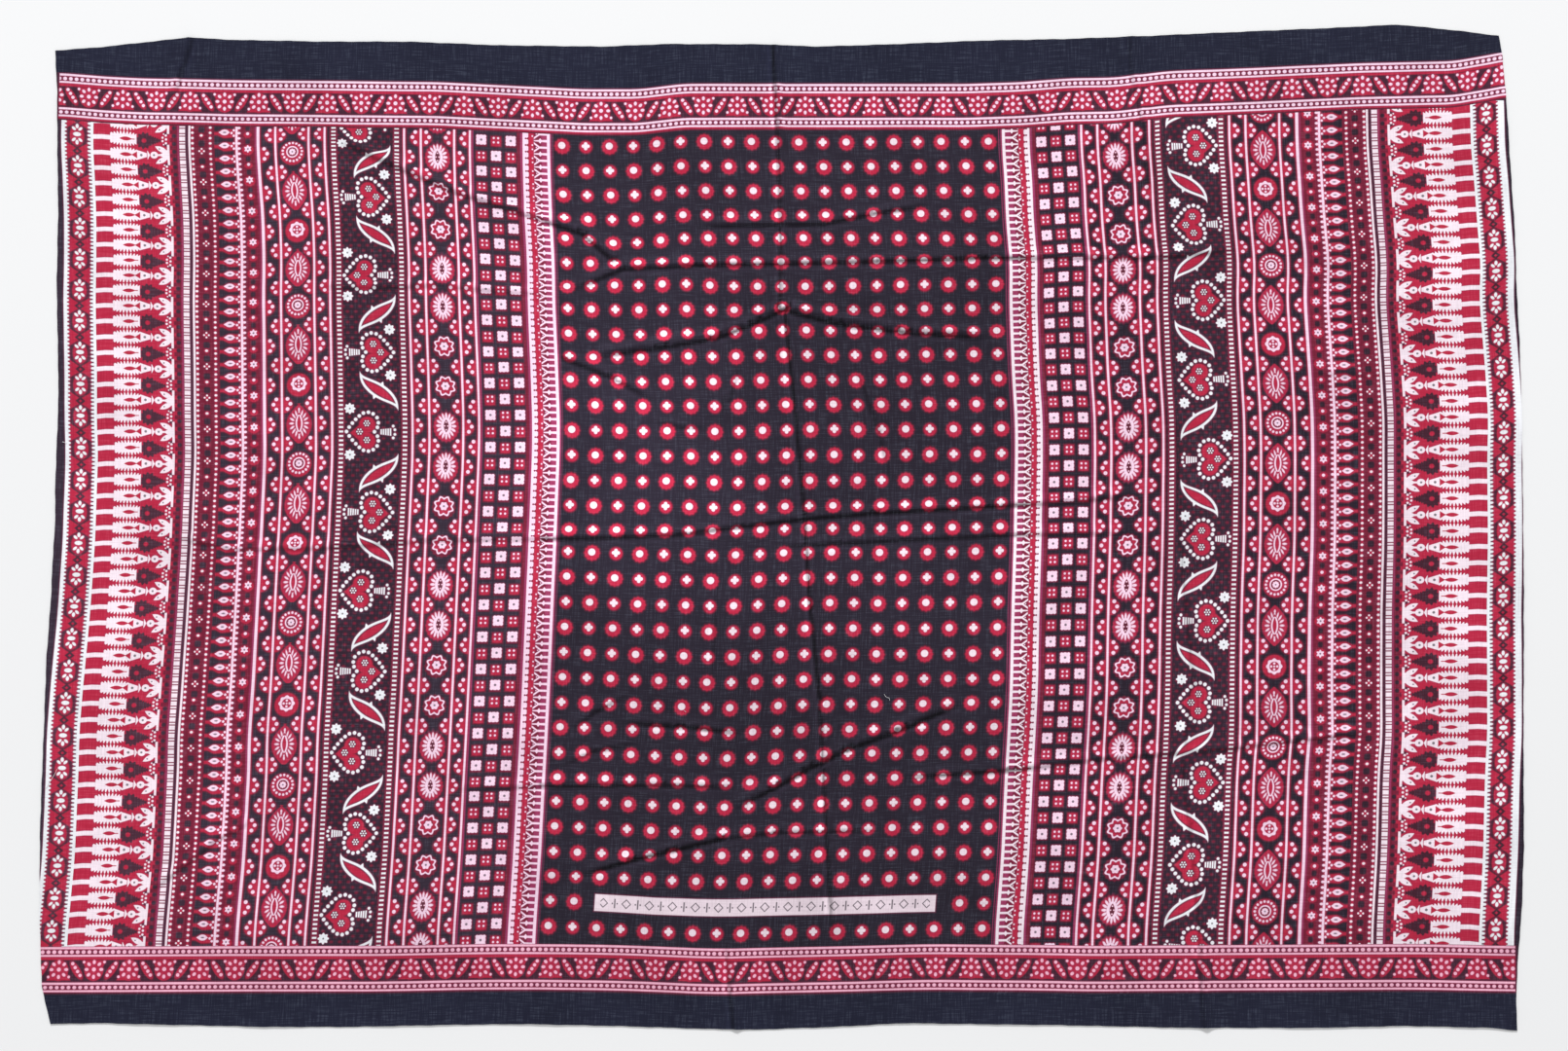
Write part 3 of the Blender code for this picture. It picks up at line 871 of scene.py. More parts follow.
swayPlaces = (-760, -560, -330, 330, 560, 760)
sway = {      # height: how far the print leans to +X there, at each of the places above; mm
    560: (-2, -1, -1, -1, 0, 0),
    410: (-2, -1, -1, -1, 0, 0),
    370: (1, 2, 0, 2, 2, 3),
    330: (3, 6, 2, 3, 4, 5),
    280: (4, 8, 5, 7, 8, 8),
    240: (4, 8, 6, 6, 6, 6),
    160: (7, 10, 10, 8, 10, 11),
    110: (8, 11, 12, 11, 12, 13),
    70: (10, 12, 12, 11, 12, 11),
    -20: (9, 9, 9, 9, 10, 10),
    -100: (5, 6, 6, 6, 6, 7),
    -180: (-1, 3, 3, 4, 4, 6),
    -230: (-4, 0, 1, 1, 4, 5),
    -270: (-4, 0, -1, -2, 0, 2),
    -360: (-6, -4, -5, -7, -4, -2),
    -440: (-12, -10, -10, -14, -10, -8),
    -560: (-16, -14, -14, -16, -12, -10),
}

topLine = {      # how far the top border stands above its place as printed, mm
    "place": (-790, -740, -700, -600, -380, -320, -220, -160, -110, 200, 260, 310, 360, 420, 520, 630,
              730, 770, 790),
    "lift": (-7, -11, -13, -15, -17, -20, -25, -25, -19, -19, -17, -13, -12, -5, -1, 4,
             6, 13, 17),
    "spread": 8.0,      # how far to each side its corners are eased
}

bottomLine = {      # the same for the bottom border
    "place": (-775, -575, -425, -325, -250, -175, -75, -25, 75, 150, 275, 325, 475, 675, 775),
    "lift": (0, 1, 1, 3, 3, 2, -2, -1, 1, 3, 2, 1, 2, 3, 1),
    "spread": 20.0,
}

driftPlaces = (-770, -705, -600, -460, -300, -130, 30, 190, 300, 440, 600, 705, 770)
drift = {      # height: how far the bands' motifs stand above an even repeat there, mm
    410: (-3, -5, -3, 0, 0, 1, -1, 0, -2, -1, -6, -4, -4),
    320: (-2, -1, -3, 1, 2, 1, 1, -1, -1, -1, -4, -2, -4),
    240: (0, 2, 0, 1, 1, 0, -2, 1, 3, 0, -4, 0, -2),
    110: (0, 3, 1, 1, 0, -2, 0, 0, 2, 1, -1, 0, -2),
    -20: (0, 1, 1, 0, -1, -2, -3, -1, 1, 1, -1, -1, -2),
    -150: (1, 0, 0, 0, -1, -2, -3, -3, -1, -1, -1, -1, -1),
    -280: (0, 0, 0, -1, 0, -2, -2, -2, 0, 0, -1, -2, -1),
    -400: (0, 0, -2, 0, 3, -3, -3, -2, 0, 0, -2, -4, -3),
}

borderDrift = {      # how far the borders' motifs stand to +X of an even repeat, mm
    "place": (-750, -650, -450, -150, 50, 150, 300, 450, 550, 650, 750),
    "top": (3, 1, 0, 0, -2, -1, 1, 3, 5, 8, 10),
    "bottom": (2, 1, 0, 0, -1, 0, 2, 4, 6, 9, 11),
}


def tableAt(places, rows, x, y):
    # reads a table of rows by height and columns by place, straight between its entries
    heights = sorted(rows)
    levels = np.array([np.interp(x, places, rows[height]) for height in heights])
    spot = np.clip(np.interp(y, heights, range(len(heights))), 0, len(heights) - 1.001)
    lower = spot.astype(int)
    first = np.take_along_axis(levels, lower[None], 0)[0]
    second = np.take_along_axis(levels, lower[None] + 1, 0)[0]
    return first + (second - first) * (spot - lower)


def borderAt(edge, u):
    return np.interp(u, borderDrift["place"], borderDrift[edge])


def borderLift(line, x):
    spread = line["spread"]
    return sum(np.interp(x + step, line["place"], line["lift"]) for step in (-spread, 0.0, spread)) / 3


def easeIn(share):
    share = np.clip(share, 0.0, 1.0)
    return share * share * (3 - 2 * share)


# name: height, reach to the left and right of its path, cloth it takes up, path, open ends; all mm
folds = {
    "fold_top": (3.0, 9, 8, 0, ((-10, 524), (-5, 433), (-1, 324), (-1, 232)), (True, True)),
    "fold_middle": (3.6, 10, 9, 0, ((4, 226), (16, 111), (25, 5), (31, -90), (41, -189)), (True, True)),
    "fold_bottom": (2.6, 9, 9, 0, ((41, -189), (47, -308), (51, -381), (55, -448)), (True, False)),
    "tuck_top_left": (3.0, 11, 9, 0, ((-652, 529), (-663, 490), (-674, 448)), (True, False)),
    "fold_right_top": (2.4, 9, 8, 0, ((380, 530), (382, 490), (395, 431), (399, 366)), (True, True)),
    "fold_right_upper": (1.8, 8, 8, 0, ((399, 366), (401, 249), (405, 178)), (True, False)),
    "fold_right_lower": (3.0, 10, 9, 0, ((427, 142), (430, -27), (437, -110), (442, -173)),
                         (False, True)),
    "fold_right_foot": (3.0, 10, 10, 0, ((442, -173), (430, -267), (437, -329), (446, -432),
                                         (449, -540)), (True, True)),
    "slant_upper_left": (4.0, 12, 11, 5.7, ((-490, 420), (-431, 393), (-357, 361), (-272, 334),
                                            (-219, 316), (-186, 288)), (False, True)),
    "cross_upper": (3.4, 11, 9, 3.0, ((-236, 252), (-176, 277), (-92, 281), (99, 285), (215, 289),
                                      (406, 289), (490, 297)), (False, False)),
    "shoulder": (3.0, 9, 9, 2.0, ((-100, 324), (-39, 325), (41, 326), (99, 338), (158, 347)),
                 (False, False)),
    "peak_left": (5.0, 9, 15, 3.6, ((-210, 183), (-134, 193), (-76, 203), (-33, 220), (-1, 235)),
                  (False, True)),
    "peak_right": (5.6, 9, 16, 4.4, ((-1, 235), (56, 220), (130, 210), (226, 204)), (True, False)),
    "fork_left": (3.4, 10, 9, 1.5, ((-236, 178), (-186, 158), (-138, 132)), (True, False)),
    "fork_left_tip": (2.0, 8, 8, 0, ((-152, 112), (-112, 104), (-78, 103)), (False, False)),
    "cross_left": (2.2, 9, 9, 2.2, ((-508, 257), (-430, 256), (-377, 259), (-324, 253), (-258, 249)),
                   (False, False)),
    "belt_left": (2.4, 11, 9, 2.0, ((-662, -14), (-594, -29), (-484, -27), (-385, -19), (-259, -17)),
                  (False, True)),
    "belt_middle": (3.4, 11, 9, 2.4, ((-259, -17), (-175, -15), (-112, -12), (-49, -4), (25, 5)),
                    (True, True)),
    "belt_right": (3.4, 10, 9, 2.0, ((25, 5), (98, 11), (224, 18), (308, 23), (380, 30)),
                   (True, False)),
    "belt_under": (2.6, 10, 9, 1.4, ((-10, -25), (56, -22), (130, -18), (256, -12), (374, -11)),
                   (False, False)),
    "fork_low": (2.2, 8, 8, 0, ((-234, -225), (-205, -204), (-166, -183)), (False, False)),
    "fork_low_under": (2.0, 8, 8, 0, ((-245, -263), (-205, -245), (-154, -236)), (False, False)),
    "bar_low": (3.2, 9, 9, 0.8, ((-178, -214), (-111, -218), (-40, -226)), (False, False)),
    "swing_low": (4.8, 11, 14, 1.6, ((-58, -305), (-12, -282), (24, -262), (66, -241), (124, -220),
                                     (192, -190)), (False, False)),
    "cross_low_left": (2.4, 9, 9, 1.6, ((-355, -286), (-257, -282), (-132, -281), (-46, -283)),
                       (False, False)),
    "cross_low_right": (3.0, 10, 9, 1.2, ((125, -273), (243, -265), (337, -254), (463, -244),
                                          (546, -234), (634, -225)), (False, False)),
    "foot_left": (4.0, 10, 10, 2.0, ((-222, -377), (-163, -360), (-121, -350), (-69, -338)),
                  (False, True)),
    "foot_right": (2.2, 9, 9, 1.2, ((-69, -338), (-7, -331), (102, -329)), (True, False)),
    "slant_low_left": (2.8, 10, 10, 1.0, ((-686, -400), (-646, -370), (-610, -341), (-563, -315)),
                       (False, False)),
    "tick_right_upper": (1.8, 8, 8, 0, ((566, 162), (650, 160)), (False, False)),
    "tick_right_lower": (1.6, 8, 8, 0, ((575, 47), (643, 45)), (False, False)),
    "wisp_left": (1.6, 8, 8, 0, ((-48, 180), (-62, 132), (-71, 75)), (False, False)),
    "wisp_right": (1.6, 8, 8, 0, ((76, 180), (104, 100), (121, 33)), (False, False)),
    "wisp_low": (1.6, 8, 8, 0, ((-69, -65), (-75, -176)), (False, False)),
    "tuck_bottom": (2.0, 8, 8, 0, ((-60, -444), (-56, -492), (-51, -543)), (False, True)),
}

drape = {
    "taper": 38.0,         # length over which a crease dies away at a free end
    "sidePower": 1.75,     # how hollow the sides of a crease are
    "crest": 0.9,          # rounding of a crease's crest
    "gatherReach": 130.0,  # how far past a crease's end the cloth is still gathered
    "thickness": 0.62,
    "bottomBorder": -456.0,  # where the bottom border's upper edge lies, mm
    "bordersApart": 871.0,
    "swaySpread": 12.0,    # how far up and down the lean's corners are eased
    "ripple": 0.16,
    "rippleWaves": 16,
    "rippleLengths": (45, 190),
    "rippleLift": 0.25,
    "seed": 7,
    # the way the light comes from, for the painted shade and highlight lines beside the creases; then where
    # those lines fall and how deep they are
    "lightWay": (0.97, 0.25),
    "darkPlace": 0.42,     # the painted shade line beside a crease, as a share of that side's reach
    "darkWidth": 2.0,
    "darkDepth": 0.86,
    "palePlace": 4.6,      # and the painted highlight line beyond it, mm further out
    "paleWidth": 2.2,
    "paleDepth": 0.42,
    "fullTone": 3.4,       # a crease this high has its painted shade lines at full depth, mm
    "busyFrom": 262.0,     # on the busy bands past this x the painted lines show less
    "busyShare": 0.45,
    "toneLimits": (-0.76, 0.9),
}


def shiftAcross(x, y):
    spread = drape["swaySpread"]
    return sum(tableAt(swayPlaces, sway, x, y + step) for step in (-spread, 0.0, spread)) / 3


def gathers():
    for height, left, right, take, path, ends in folds.values():
        if take:
            xs = [point[0] for point in path]
            ys = [point[1] for point in path]
            yield take, xs, ys, max(left, right)


def shiftAlong(x, y):
    top = borderLift(topLine, x)
    bottom = borderLift(bottomLine, x)
    rise = np.clip((y - drape["bottomBorder"]) / drape["bordersApart"], 0.0, 1.0)
    taken = 0.0
    gathered = 0.0
    for take, xs, ys, reach in gathers():
        before = easeIn(1 - (xs[0] - x) / drape["gatherReach"])
        after = easeIn(1 - (x - xs[-1]) / drape["gatherReach"])
        share = take * before * after
        level = np.interp(x, xs, ys)
        taken = taken + share
        gathered = gathered + share * easeIn((y - level) / (3 * reach) + 0.5)
    return bottom * (1 - rise) + (top + taken) * rise - gathered


# the outline, read from the frame's own solid

outline = {
    "upright": 0.02,       # the rim's faces stand upright: their normals' z is under this
    "cornerReach": 12,     # a side's points are no further in than this past its corners, mm
    "longWave": 7.3,       # the raw edge's small unevenness, mm
    "longDepth": 0.16,
    "shortWave": 3.1,
    "shortDepth": 0.12,
}


def rimPoints(node):
    # the rim's faces stand upright, and no other face of the cloth does
    mesh = node.data
    rim = set()
    for polygon in mesh.polygons:
        if abs(polygon.normal.z) < outline["upright"]:
            rim.update(polygon.vertices)
    points = {(round(mesh.vertices[k].co.x / mm, 2), round(mesh.vertices[k].co.y / mm, 2)) for k in rim}
    return np.array(sorted(points))


def splitSides(points):
    corner = {(sx, sy): points[np.argmax(points @ (sx, sy))] for sx in (-1, 1) for sy in (-1, 1)}

    def side(first, last, axis):
        low1, high1 = sorted((first[axis], last[axis]))
        middle = points[:, 1 - axis] * (first[1 - axis] + last[1 - axis]) > 0
        chosen = points[middle & (points[:, axis] >= low1) & (points[:, axis] <= high1)]
        least = min(abs(first[1 - axis]), abs(last[1 - axis])) - outline["cornerReach"]
        chosen = chosen[np.abs(chosen[:, 1 - axis]) > least]
        order = np.argsort(chosen[:, axis])
        return chosen[order, axis], chosen[order, 1 - axis]

    return {"top": side(corner[-1, 1], corner[1, 1], 0), "bottom": side(corner[-1, -1], corner[1, -1], 0),
            "left": side(corner[-1, -1], corner[-1, 1], 1), "right": side(corner[1, -1], corner[1, 1], 1)}


sides = splitSides(rimPoints(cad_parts["kanga_cloth"]))
print("outline points:", {name: len(places) for name, (places, _) in sides.items()})


def edgeAt(name, value):
    places, insets = sides[name]
    wobble = outline["longDepth"] * np.sin(value / outline["longWave"])
    wobble = wobble + outline["shortDepth"] * np.sin(value / outline["shortWave"] + 1.0)
    return np.interp(value, places, insets) + wobble


# the sheet's grid: columns and rows follow the print's own lines

grid = {
    "step": 2.75,        # spacing of columns and rows, mm
    "edgeColumns": 6,
    "marginRows": 14,
    "leftLine": -781.0,
    "rightLine": 776.0,
    "bottomLine": -506.5,
    "topLine": 498.5,
    "fieldBottom": -455.5,
    "fieldTop": 445.5,
    "least": 2.0,        # the outermost printed column stays this far inside the cloth's edge, mm
    "squeeze": 34.0,     # and the columns within this reach of it give way, mm
}


def evenSteps(first, last):
    count = max(2, 2 * round(abs(last - first) / grid["step"] / 2))
    return [first + (last - first) * k / count for k in range(count)]


def columnLines():
    # each column's place as printed, and the material its faces to the right take
    lines, owners = [], []
    stops = [(grid["leftLine"], "left_fringe")]
    stops += [(bands[name][0], "left_" + name) for name in bands if name != "fringe"]
    stops.append((bands["lattice"][1], "field"))
    stops += [(bands[name][3], "right_" + name) for name in reversed(bands)]
    stops.append((grid["rightLine"], "right_fringe"))
    for (first, owner), (last, _) in zip(stops, stops[1:]):
        steps = evenSteps(first, last)
        lines += steps
        owners += [owner] * len(steps)
    lines.append(grid["rightLine"])
    return lines, owners


def rowLines():
    lines, owners = [], []
    stops = [(grid["bottomLine"], "bottom"), (grid["fieldBottom"], "bands"), (grid["fieldTop"], "top"),
             (grid["topLine"], "")]
    for (first, owner), (last, _) in zip(stops, stops[1:]):
        steps = evenSteps(first, last)
        lines += steps
        owners += [owner] * len(steps)
    lines.append(grid["topLine"])
    return lines, owners


def squeezed(past, inwards, column):
    # how far the print's columns move in where the edge cuts across them
    push = np.maximum(past[:, [column]] + grid["least"], 0.0)
    return push * (1 - easeIn(inwards / grid["squeeze"]))


def betweenEdges(value, first, last, place, fromFirst, fromLast):
    near, far = edgeAt(first, place), edgeAt(last, place)
    value = np.where(fromFirst < 1, near + (value - near) * fromFirst, value)
    return np.where(fromLast < 1, far + (value - far) * fromLast, value)


def layGrid():
    columns, columnOwners = columnLines()
    rows, rowOwners = rowLines()
    edge, margin = grid["edgeColumns"], grid["marginRows"]
    u = np.array([columns[0]] * edge + columns + [columns[-1]] * edge)
    v = np.array([rows[0]] * margin + rows + [rows[-1]] * margin)
    fromLeft = np.array([k / edge for k in range(edge)] + [1.0] * (len(columns) + edge))
    fromRight = np.array([1.0] * (len(columns) + edge) + [1 - (k + 1) / edge for k in range(edge)])
    fromBottom = np.array([k / margin for k in range(margin)] + [1.0] * (len(rows) + margin))
    fromTop = np.array([1.0] * (len(rows) + margin) + [1 - (k + 1) / margin for k in range(margin)])
    u, v = np.meshgrid(u, v)
    fromLeft, fromBottom = np.meshgrid(fromLeft, fromBottom)
    fromRight, fromTop = np.meshgrid(fromRight, fromTop)
    x, y = u.copy(), v.copy()
    for _ in range(14):
        x = u + shiftAcross(x, y)
        printed = v + shiftAlong(x, y)
        y = betweenEdges(printed, "bottom", "top", x, fromBottom, fromTop)
        left, right = edgeAt("left", y), edgeAt("right", y)
        x = x + squeezed(left - x, u - columns[0], edge) - squeezed(x - right, columns[-1] - u, -edge - 1)
        x = betweenEdges(x, "left", "right", y, fromLeft, fromRight)
        y = betweenEdges(printed, "bottom", "top", x, fromBottom, fromTop)
    owners = {"columns": ["left_fringe"] * edge + columnOwners + ["right_fringe"] * edge,
              "rows": ["plain"] * margin + rowOwners + ["plain"] * margin}
    return x, y, owners


def besidePath(x, y, path):
    # for each straight run of a path: which way is across it, how far across and how far along
    lengths = [math.dist(a, b) for a, b in zip(path, path[1:])]
    before = 0.0
    for (a, b), length in zip(zip(path, path[1:]), lengths):
        ax, ay = (b[0] - a[0]) / length, (b[1] - a[1]) / length
        run = (x - a[0]) * ax + (y - a[1]) * ay
        clipped = np.clip(run, 0, length)
        dx, dy = x - a[0] - ax * clipped, y - a[1] - ay * clipped
        away = np.sqrt(dx * dx + dy * dy)
        side = np.where(ax * dy - ay * dx >= 0, 1.0, -1.0)
        lit = ax * drape["lightWay"][0] - ay * drape["lightWay"][1] > 0
        facing = -1.0 if lit else 1.0      # the lit side counts as negative
        yield facing, away * side * facing, before + clipped, sum(lengths)
        before += length


def ridge(x, y, fold):
    height, left, right, _, path, ends = fold
    best = np.zeros_like(x)
    lengths = [math.dist(a, b) for a, b in zip(path, path[1:])]
    total = sum(lengths)
    before = 0.0
    for (a, b), length in zip(zip(path, path[1:]), lengths):
        ax, ay = (b[0] - a[0]) / length, (b[1] - a[1]) / length
        run = np.clip((x - a[0]) * ax + (y - a[1]) * ay, 0, length)
        dx, dy = x - a[0] - ax * run, y - a[1] - ay * run
        reach = np.where(ax * dy - ay * dx >= 0, left, right)
        away = np.sqrt(dx * dx + dy * dy + drape["crest"] ** 2) - drape["crest"]
        slope = np.clip(1 - away / reach, 0, 1) ** drape["sidePower"]
        fade = np.ones_like(x)
        if not ends[0]:
            fade = np.minimum(fade, (before + run) / drape["taper"])
        if not ends[1]:
            fade = np.minimum(fade, (total - before - run) / drape["taper"])
        best = np.maximum(best, slope * np.sin(np.clip(fade, 0, 1) * math.pi / 2))
        before += length
    return best * height


paintedLightPatches = (      # broad places of painted light and painted shade, paler or darker: middle, half width and half height in mm, then depth
    (-160, 130, 130, 150, 0.40), (-150, 40, 120, 70, 0.22), (-120, -60, 150, 60, 0.22),
    (0, 340, 220, 90, 0.14), (-220, 340, 60, 90, 0.20), (170, -60, 120, 120, 0.10),
    (120, -230, 260, 50, -0.14), (60, 232, 190, 22, -0.12), (60, -400, 300, 50, -0.10),
    (0, -480, 900, 50, -0.14), (620, 0, 240, 600, -0.05),
)


def paintedShadeAndLight(x, y):
    # how much lighter or darker the colour is painted beside each crease: a thin line of painted shade
    # down its side away from the light, and a paler line of painted highlight at its foot; then broad
    # patches of painted light and shade
    tone = np.zeros_like(x)
    for height, left, right, _, path, ends in folds.values():
        for facing, across, run, total in besidePath(x, y, path):
            fade = np.ones_like(x)
            if not ends[0]:
                fade = np.minimum(fade, run / drape["taper"])
            if not ends[1]:
                fade = np.minimum(fade, (total - run) / drape["taper"])
            fade = np.clip(fade, 0, 1)
            foot = drape["darkPlace"] * (right if facing < 0 else left)
            dark = np.exp(-((across - foot) / drape["darkWidth"]) ** 2)
            pale = np.exp(-((across - foot - drape["palePlace"]) / drape["paleWidth"]) ** 2)
            busy = np.where(np.abs(x) > drape["busyFrom"], drape["busyShare"], 1.0)
            strength = fade * min(height / drape["fullTone"], 1.2) * busy
            line = (pale * drape["paleDepth"] - dark * drape["darkDepth"]) * strength
            tone = np.where(np.abs(line) > np.abs(tone), line, tone)
    for across, along, wide, tall, depth in paintedLightPatches:
        tone = tone + depth * np.exp(-((x - across) / wide) ** 2 - ((y - along) / tall) ** 2)
    return np.clip(tone, *drape["toneLimits"])


def ripples(x, y):
    # a soft unevenness in the laid cloth, of sixteen slow waves
    random = np.random.default_rng(drape["seed"])
    result = np.zeros_like(x)
    shortest, longest = drape["rippleLengths"]
    for _ in range(drape["rippleWaves"]):
        wave = random.uniform(shortest, longest)
        turn = random.uniform(0, math.pi)
        phase = random.uniform(0, 2 * math.pi)
        run = (x * math.cos(turn) + y * math.sin(turn)) * 2 * math.pi / wave
        result += np.sin(run + phase) * wave / longest
    return np.clip(result * drape["ripple"] + drape["rippleLift"], 0, None)


def lowest(values):
    # each value's lowest neighbour, so that the coarse underside stays below the fine top
    padded = np.pad(values, 1, mode="edge")
    rows, columns = values.shape
    return np.min([padded[r:r + rows, c:c + columns] for r in range(3) for c in range(3)], axis=0)


def layCloth():
    x, y, owners = layGrid()
    lift = ripples(x, y)
    for fold in folds.values():
        lift = np.maximum(lift, ridge(x, y, fold)) + 0.25 * np.minimum(lift, ridge(x, y, fold))
    u = x - shiftAcross(x, y)
    v = y - shiftAlong(x, y)
    upper = borderAt("top", u)
    lower = borderAt("bottom", u)
    # tone: the painted shade and highlight beside the creases and the broad patches of painted light and
    # shade
    return {"x": x, "y": y, "top": lift + drape["thickness"], "under": lowest(lift), "u": u, "v": v,
            "bandV": v - tableAt(driftPlaces, drift, u, v), "borderU": u - np.where(v > 0, upper, lower),
            "tone": paintedShadeAndLight(x, y), "owners": owners}


cloth = layCloth()
print("cloth grid:", cloth["x"].shape, "height", round(float(cloth["top"].max()), 2), "mm")


def surfaceNormals(x, y, z):
    dxr, dxc = np.gradient(x)
    dyr, dyc = np.gradient(y)
    dzr, dzc = np.gradient(z)
    normal = np.cross(np.stack([dxc, dyc, dzc], -1), np.stack([dxr, dyr, dzr], -1))
    return normal / np.linalg.norm(normal, axis=-1, keepdims=True)


def faceOwner(row, column):
    rowOwner = cloth["owners"]["rows"][row]
    return cloth["owners"]["columns"][column] if rowOwner == "bands" else rowOwner


def walkRound(rows, columns, step):
    # the border of a grid, counter-clockwise from its lower left corner
    path = [(0, c) for c in range(0, columns, step)]
    path += [(r, columns - 1) for r in range(step, rows, step)]
    path += [(rows - 1, c) for c in range(columns - 1 - step, -1, -step)]
    path += [(r, 0) for r in range(rows - 1 - step, 0, -step)]
    return path


bakeArea = {      # where a piece lies in its own texture, as shares of its side
    "margin": 0.005,
    "wide": 0.965,
    "tall": 0.99,
    "rim": (0.978, 0.995),
}


def makeStretch(name, first, last):
    part = {key: layer[:, first:last + 1] for key, layer in cloth.items() if key != "owners"}
    normals = surfaceNormals(cloth["x"], cloth["y"], cloth["top"])[:, first:last + 1]
    rows, columns = part["x"].shape
    coarse = (slice(0, rows, 2), slice(0, columns, 2))
    topIds = np.arange(rows * columns).reshape(rows, columns)
    shape = part["x"][coarse].shape
    underIds = rows * columns + np.arange(shape[0] * shape[1]).reshape(shape)

    def points(z, pick):
        return np.stack([part["x"][pick], part["y"][pick], z[pick]], -1).reshape(-1, 3) * mm

    whole = (slice(None), slice(None))
    vertices = np.concatenate([points(part["top"], whole), points(part["under"], coarse)])
    prints = {key: np.concatenate([part[key].ravel(), part[key][coarse].ravel()])
              for key in ("u", "v", "bandV", "borderU", "tone")}
    faces, owners, rimRuns = [], [], []
    for r in range(shape[0] - 1):      # underside first, then the rim, then the top
        for c in range(shape[1] - 1):
            faces.append((underIds[r, c], underIds[r + 1, c], underIds[r + 1, c + 1], underIds[r, c + 1]))
            owners.append(faceOwner(2 * r, first + 2 * c))
    underCount = len(faces)
    walk = walkRound(rows, columns, 2)
    for k, (r, c) in enumerate(walk):
        nextR, nextC = walk[(k + 1) % len(walk)]
        midR, midC = (r + nextR) // 2, (c + nextC) // 2
        faces.append((underIds[r // 2, c // 2], underIds[nextR // 2, nextC // 2],
                      topIds[nextR, nextC], topIds[midR, midC], topIds[r, c]))
        owners.append(faceOwner(min(midR, rows - 2), min(first + midC, last - 1)))
        rimRuns.append((k / len(walk), (k + 1) / len(walk)))
    rimEnd = len(faces)
    for r in range(rows - 1):
        for c in range(columns - 1):
            faces.append((topIds[r, c], topIds[r, c + 1], topIds[r + 1, c + 1], topIds[r + 1, c]))
            owners.append(faceOwner(r, first + c))

    mesh = bpy.data.meshes.new(name)
    mesh.from_pydata(vertices.tolist(), [], [tuple(int(k) for k in face) for face in faces])
    used = sorted(set(owners))
    for owner in used:
        mesh.materials.append(materials[owner])
    mesh.polygons.foreach_set("material_index", np.array([used.index(owner) for owner in owners], np.int32))
    mesh.polygons.foreach_set("use_smooth", np.ones(len(faces), bool))

    corners = np.zeros(len(mesh.loops), np.int32)
    mesh.loops.foreach_get("vertex_index", corners)
    place = mesh.uv_layers.new(name="printPlace")
    sizes = [len(face) for face in faces]
    onBorder = np.repeat([owner in ("top", "bottom") for owner in owners], sizes)
    placeU = np.where(onBorder, prints["borderU"][corners], prints["u"][corners])
    placeV = np.where(onBorder, prints["v"][corners], prints["bandV"][corners])
    place.data.foreach_set("uv", (np.stack([placeU, placeV], -1) * mm).ravel())
    # painted shade and light, one value per vertex, read by the cloth's materials
    tone = mesh.attributes.new("paintedShadeAndLight", "FLOAT", "POINT")
    tone.data.foreach_set("value", prints["tone"])
    bake = mesh.uv_layers.new(name="OFBake")
    nearest, farthest = vertices[:, :2].min(0), vertices[:, :2].max(0)
    spread = (vertices[:, :2] - nearest) / (farthest - nearest)
    margin, wide, tall = bakeArea["margin"], bakeArea["wide"], bakeArea["tall"]
    flat = np.stack([margin + wide * spread[corners, 0], margin + tall * spread[corners, 1]], -1)
    inner, outer = bakeArea["rim"]
    loopStart = underCount * 4
    for start, end in rimRuns:      # the rim's faces stand upright, so they get a strip of their own
        strip = np.array([[inner, start], [inner, end], [outer, end], [outer, (start + end) / 2],
                          [outer, start]])
        flat[loopStart:loopStart + 5] = strip * (1, tall) + (0, margin)
        loopStart += 5
    bake.data.foreach_set("uv", flat.ravel())
    mesh.uv_layers.active = place
    place.active_render = True

    underNormals = -surfaceNormals(part["x"][coarse], part["y"][coarse], part["under"][coarse])
    allNormals = np.concatenate([normals.reshape(-1, 3), underNormals.reshape(-1, 3)])
    mesh.normals_split_custom_set_from_vertices(allNormals.tolist())
    mesh.update()
    piece = bpy.data.objects.new(name, mesh)
    scene.collection.objects.link(piece)
    triangles = 2 * (len(faces) - rimEnd) + 2 * underCount + 3 * len(walk)
    print(f"{name}: {rows} by {columns}, {triangles} triangles")
    return piece


ownerList = cloth["owners"]["columns"]
fieldFirst = ownerList.index("field")
fieldLast = len(ownerList) - ownerList[::-1].index("field")
lastColumn = cloth["x"].shape[1] - 1
splitRight = fieldLast + 8      # the middle takes a few columns of the right, to even out the pieces
stretches = {
    # name: first and last grid column, width of its share of the flat cut, m
    "kanga_left_bands": (0, fieldFirst, 0.55),
    "kanga_middle_field": (fieldFirst, splitRight, 0.509),
    "kanga_right_bands": (splitRight, lastColumn, 0.541),
}
for name, (first, last, flatWidth) in stretches.items():
    piece = makeStretch(name, first, last)
    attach(piece, "root")
    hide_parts("kanga_cloth")


# the few loose threads and fibres that lie on the cloth and at its raw edge

threads = {
    # name: thickness in mm, curl in mm, path of x, y and height above the cloth in mm
    "thread_left_edge": (0.42, 0.5, ((-779, -267, 0.5), (-783, -275, 0.6), (-788, -283, 0.4),
                                     (-791, -288, 0.0))),
    "thread_left_tick": (0.42, 0.2, ((-781, 85, 0.4), (-778, 84, 0.7), (-776, 84, 0.4))),
    "fibre_field": (0.34, 0.7, ((107, -187, 0.5), (109, -190, 0.8), (112, -191, 0.8), (113, -194, 0.5))),
    "fibre_field_low": (0.30, 0.3, ((-108, -205, 0.5), (-106, -206, 0.6))),
}

threadLook = {
    "colour": (0.80, 0.79, 0.80, 1.0),
    "step": 0.5,           # spacing of a thread's rings, mm
    "sides": 8,
    "roughness": 0.9,
    "specular": 0.1,
    "curlScale": 260.0,    # how tightly a thread wanders
}


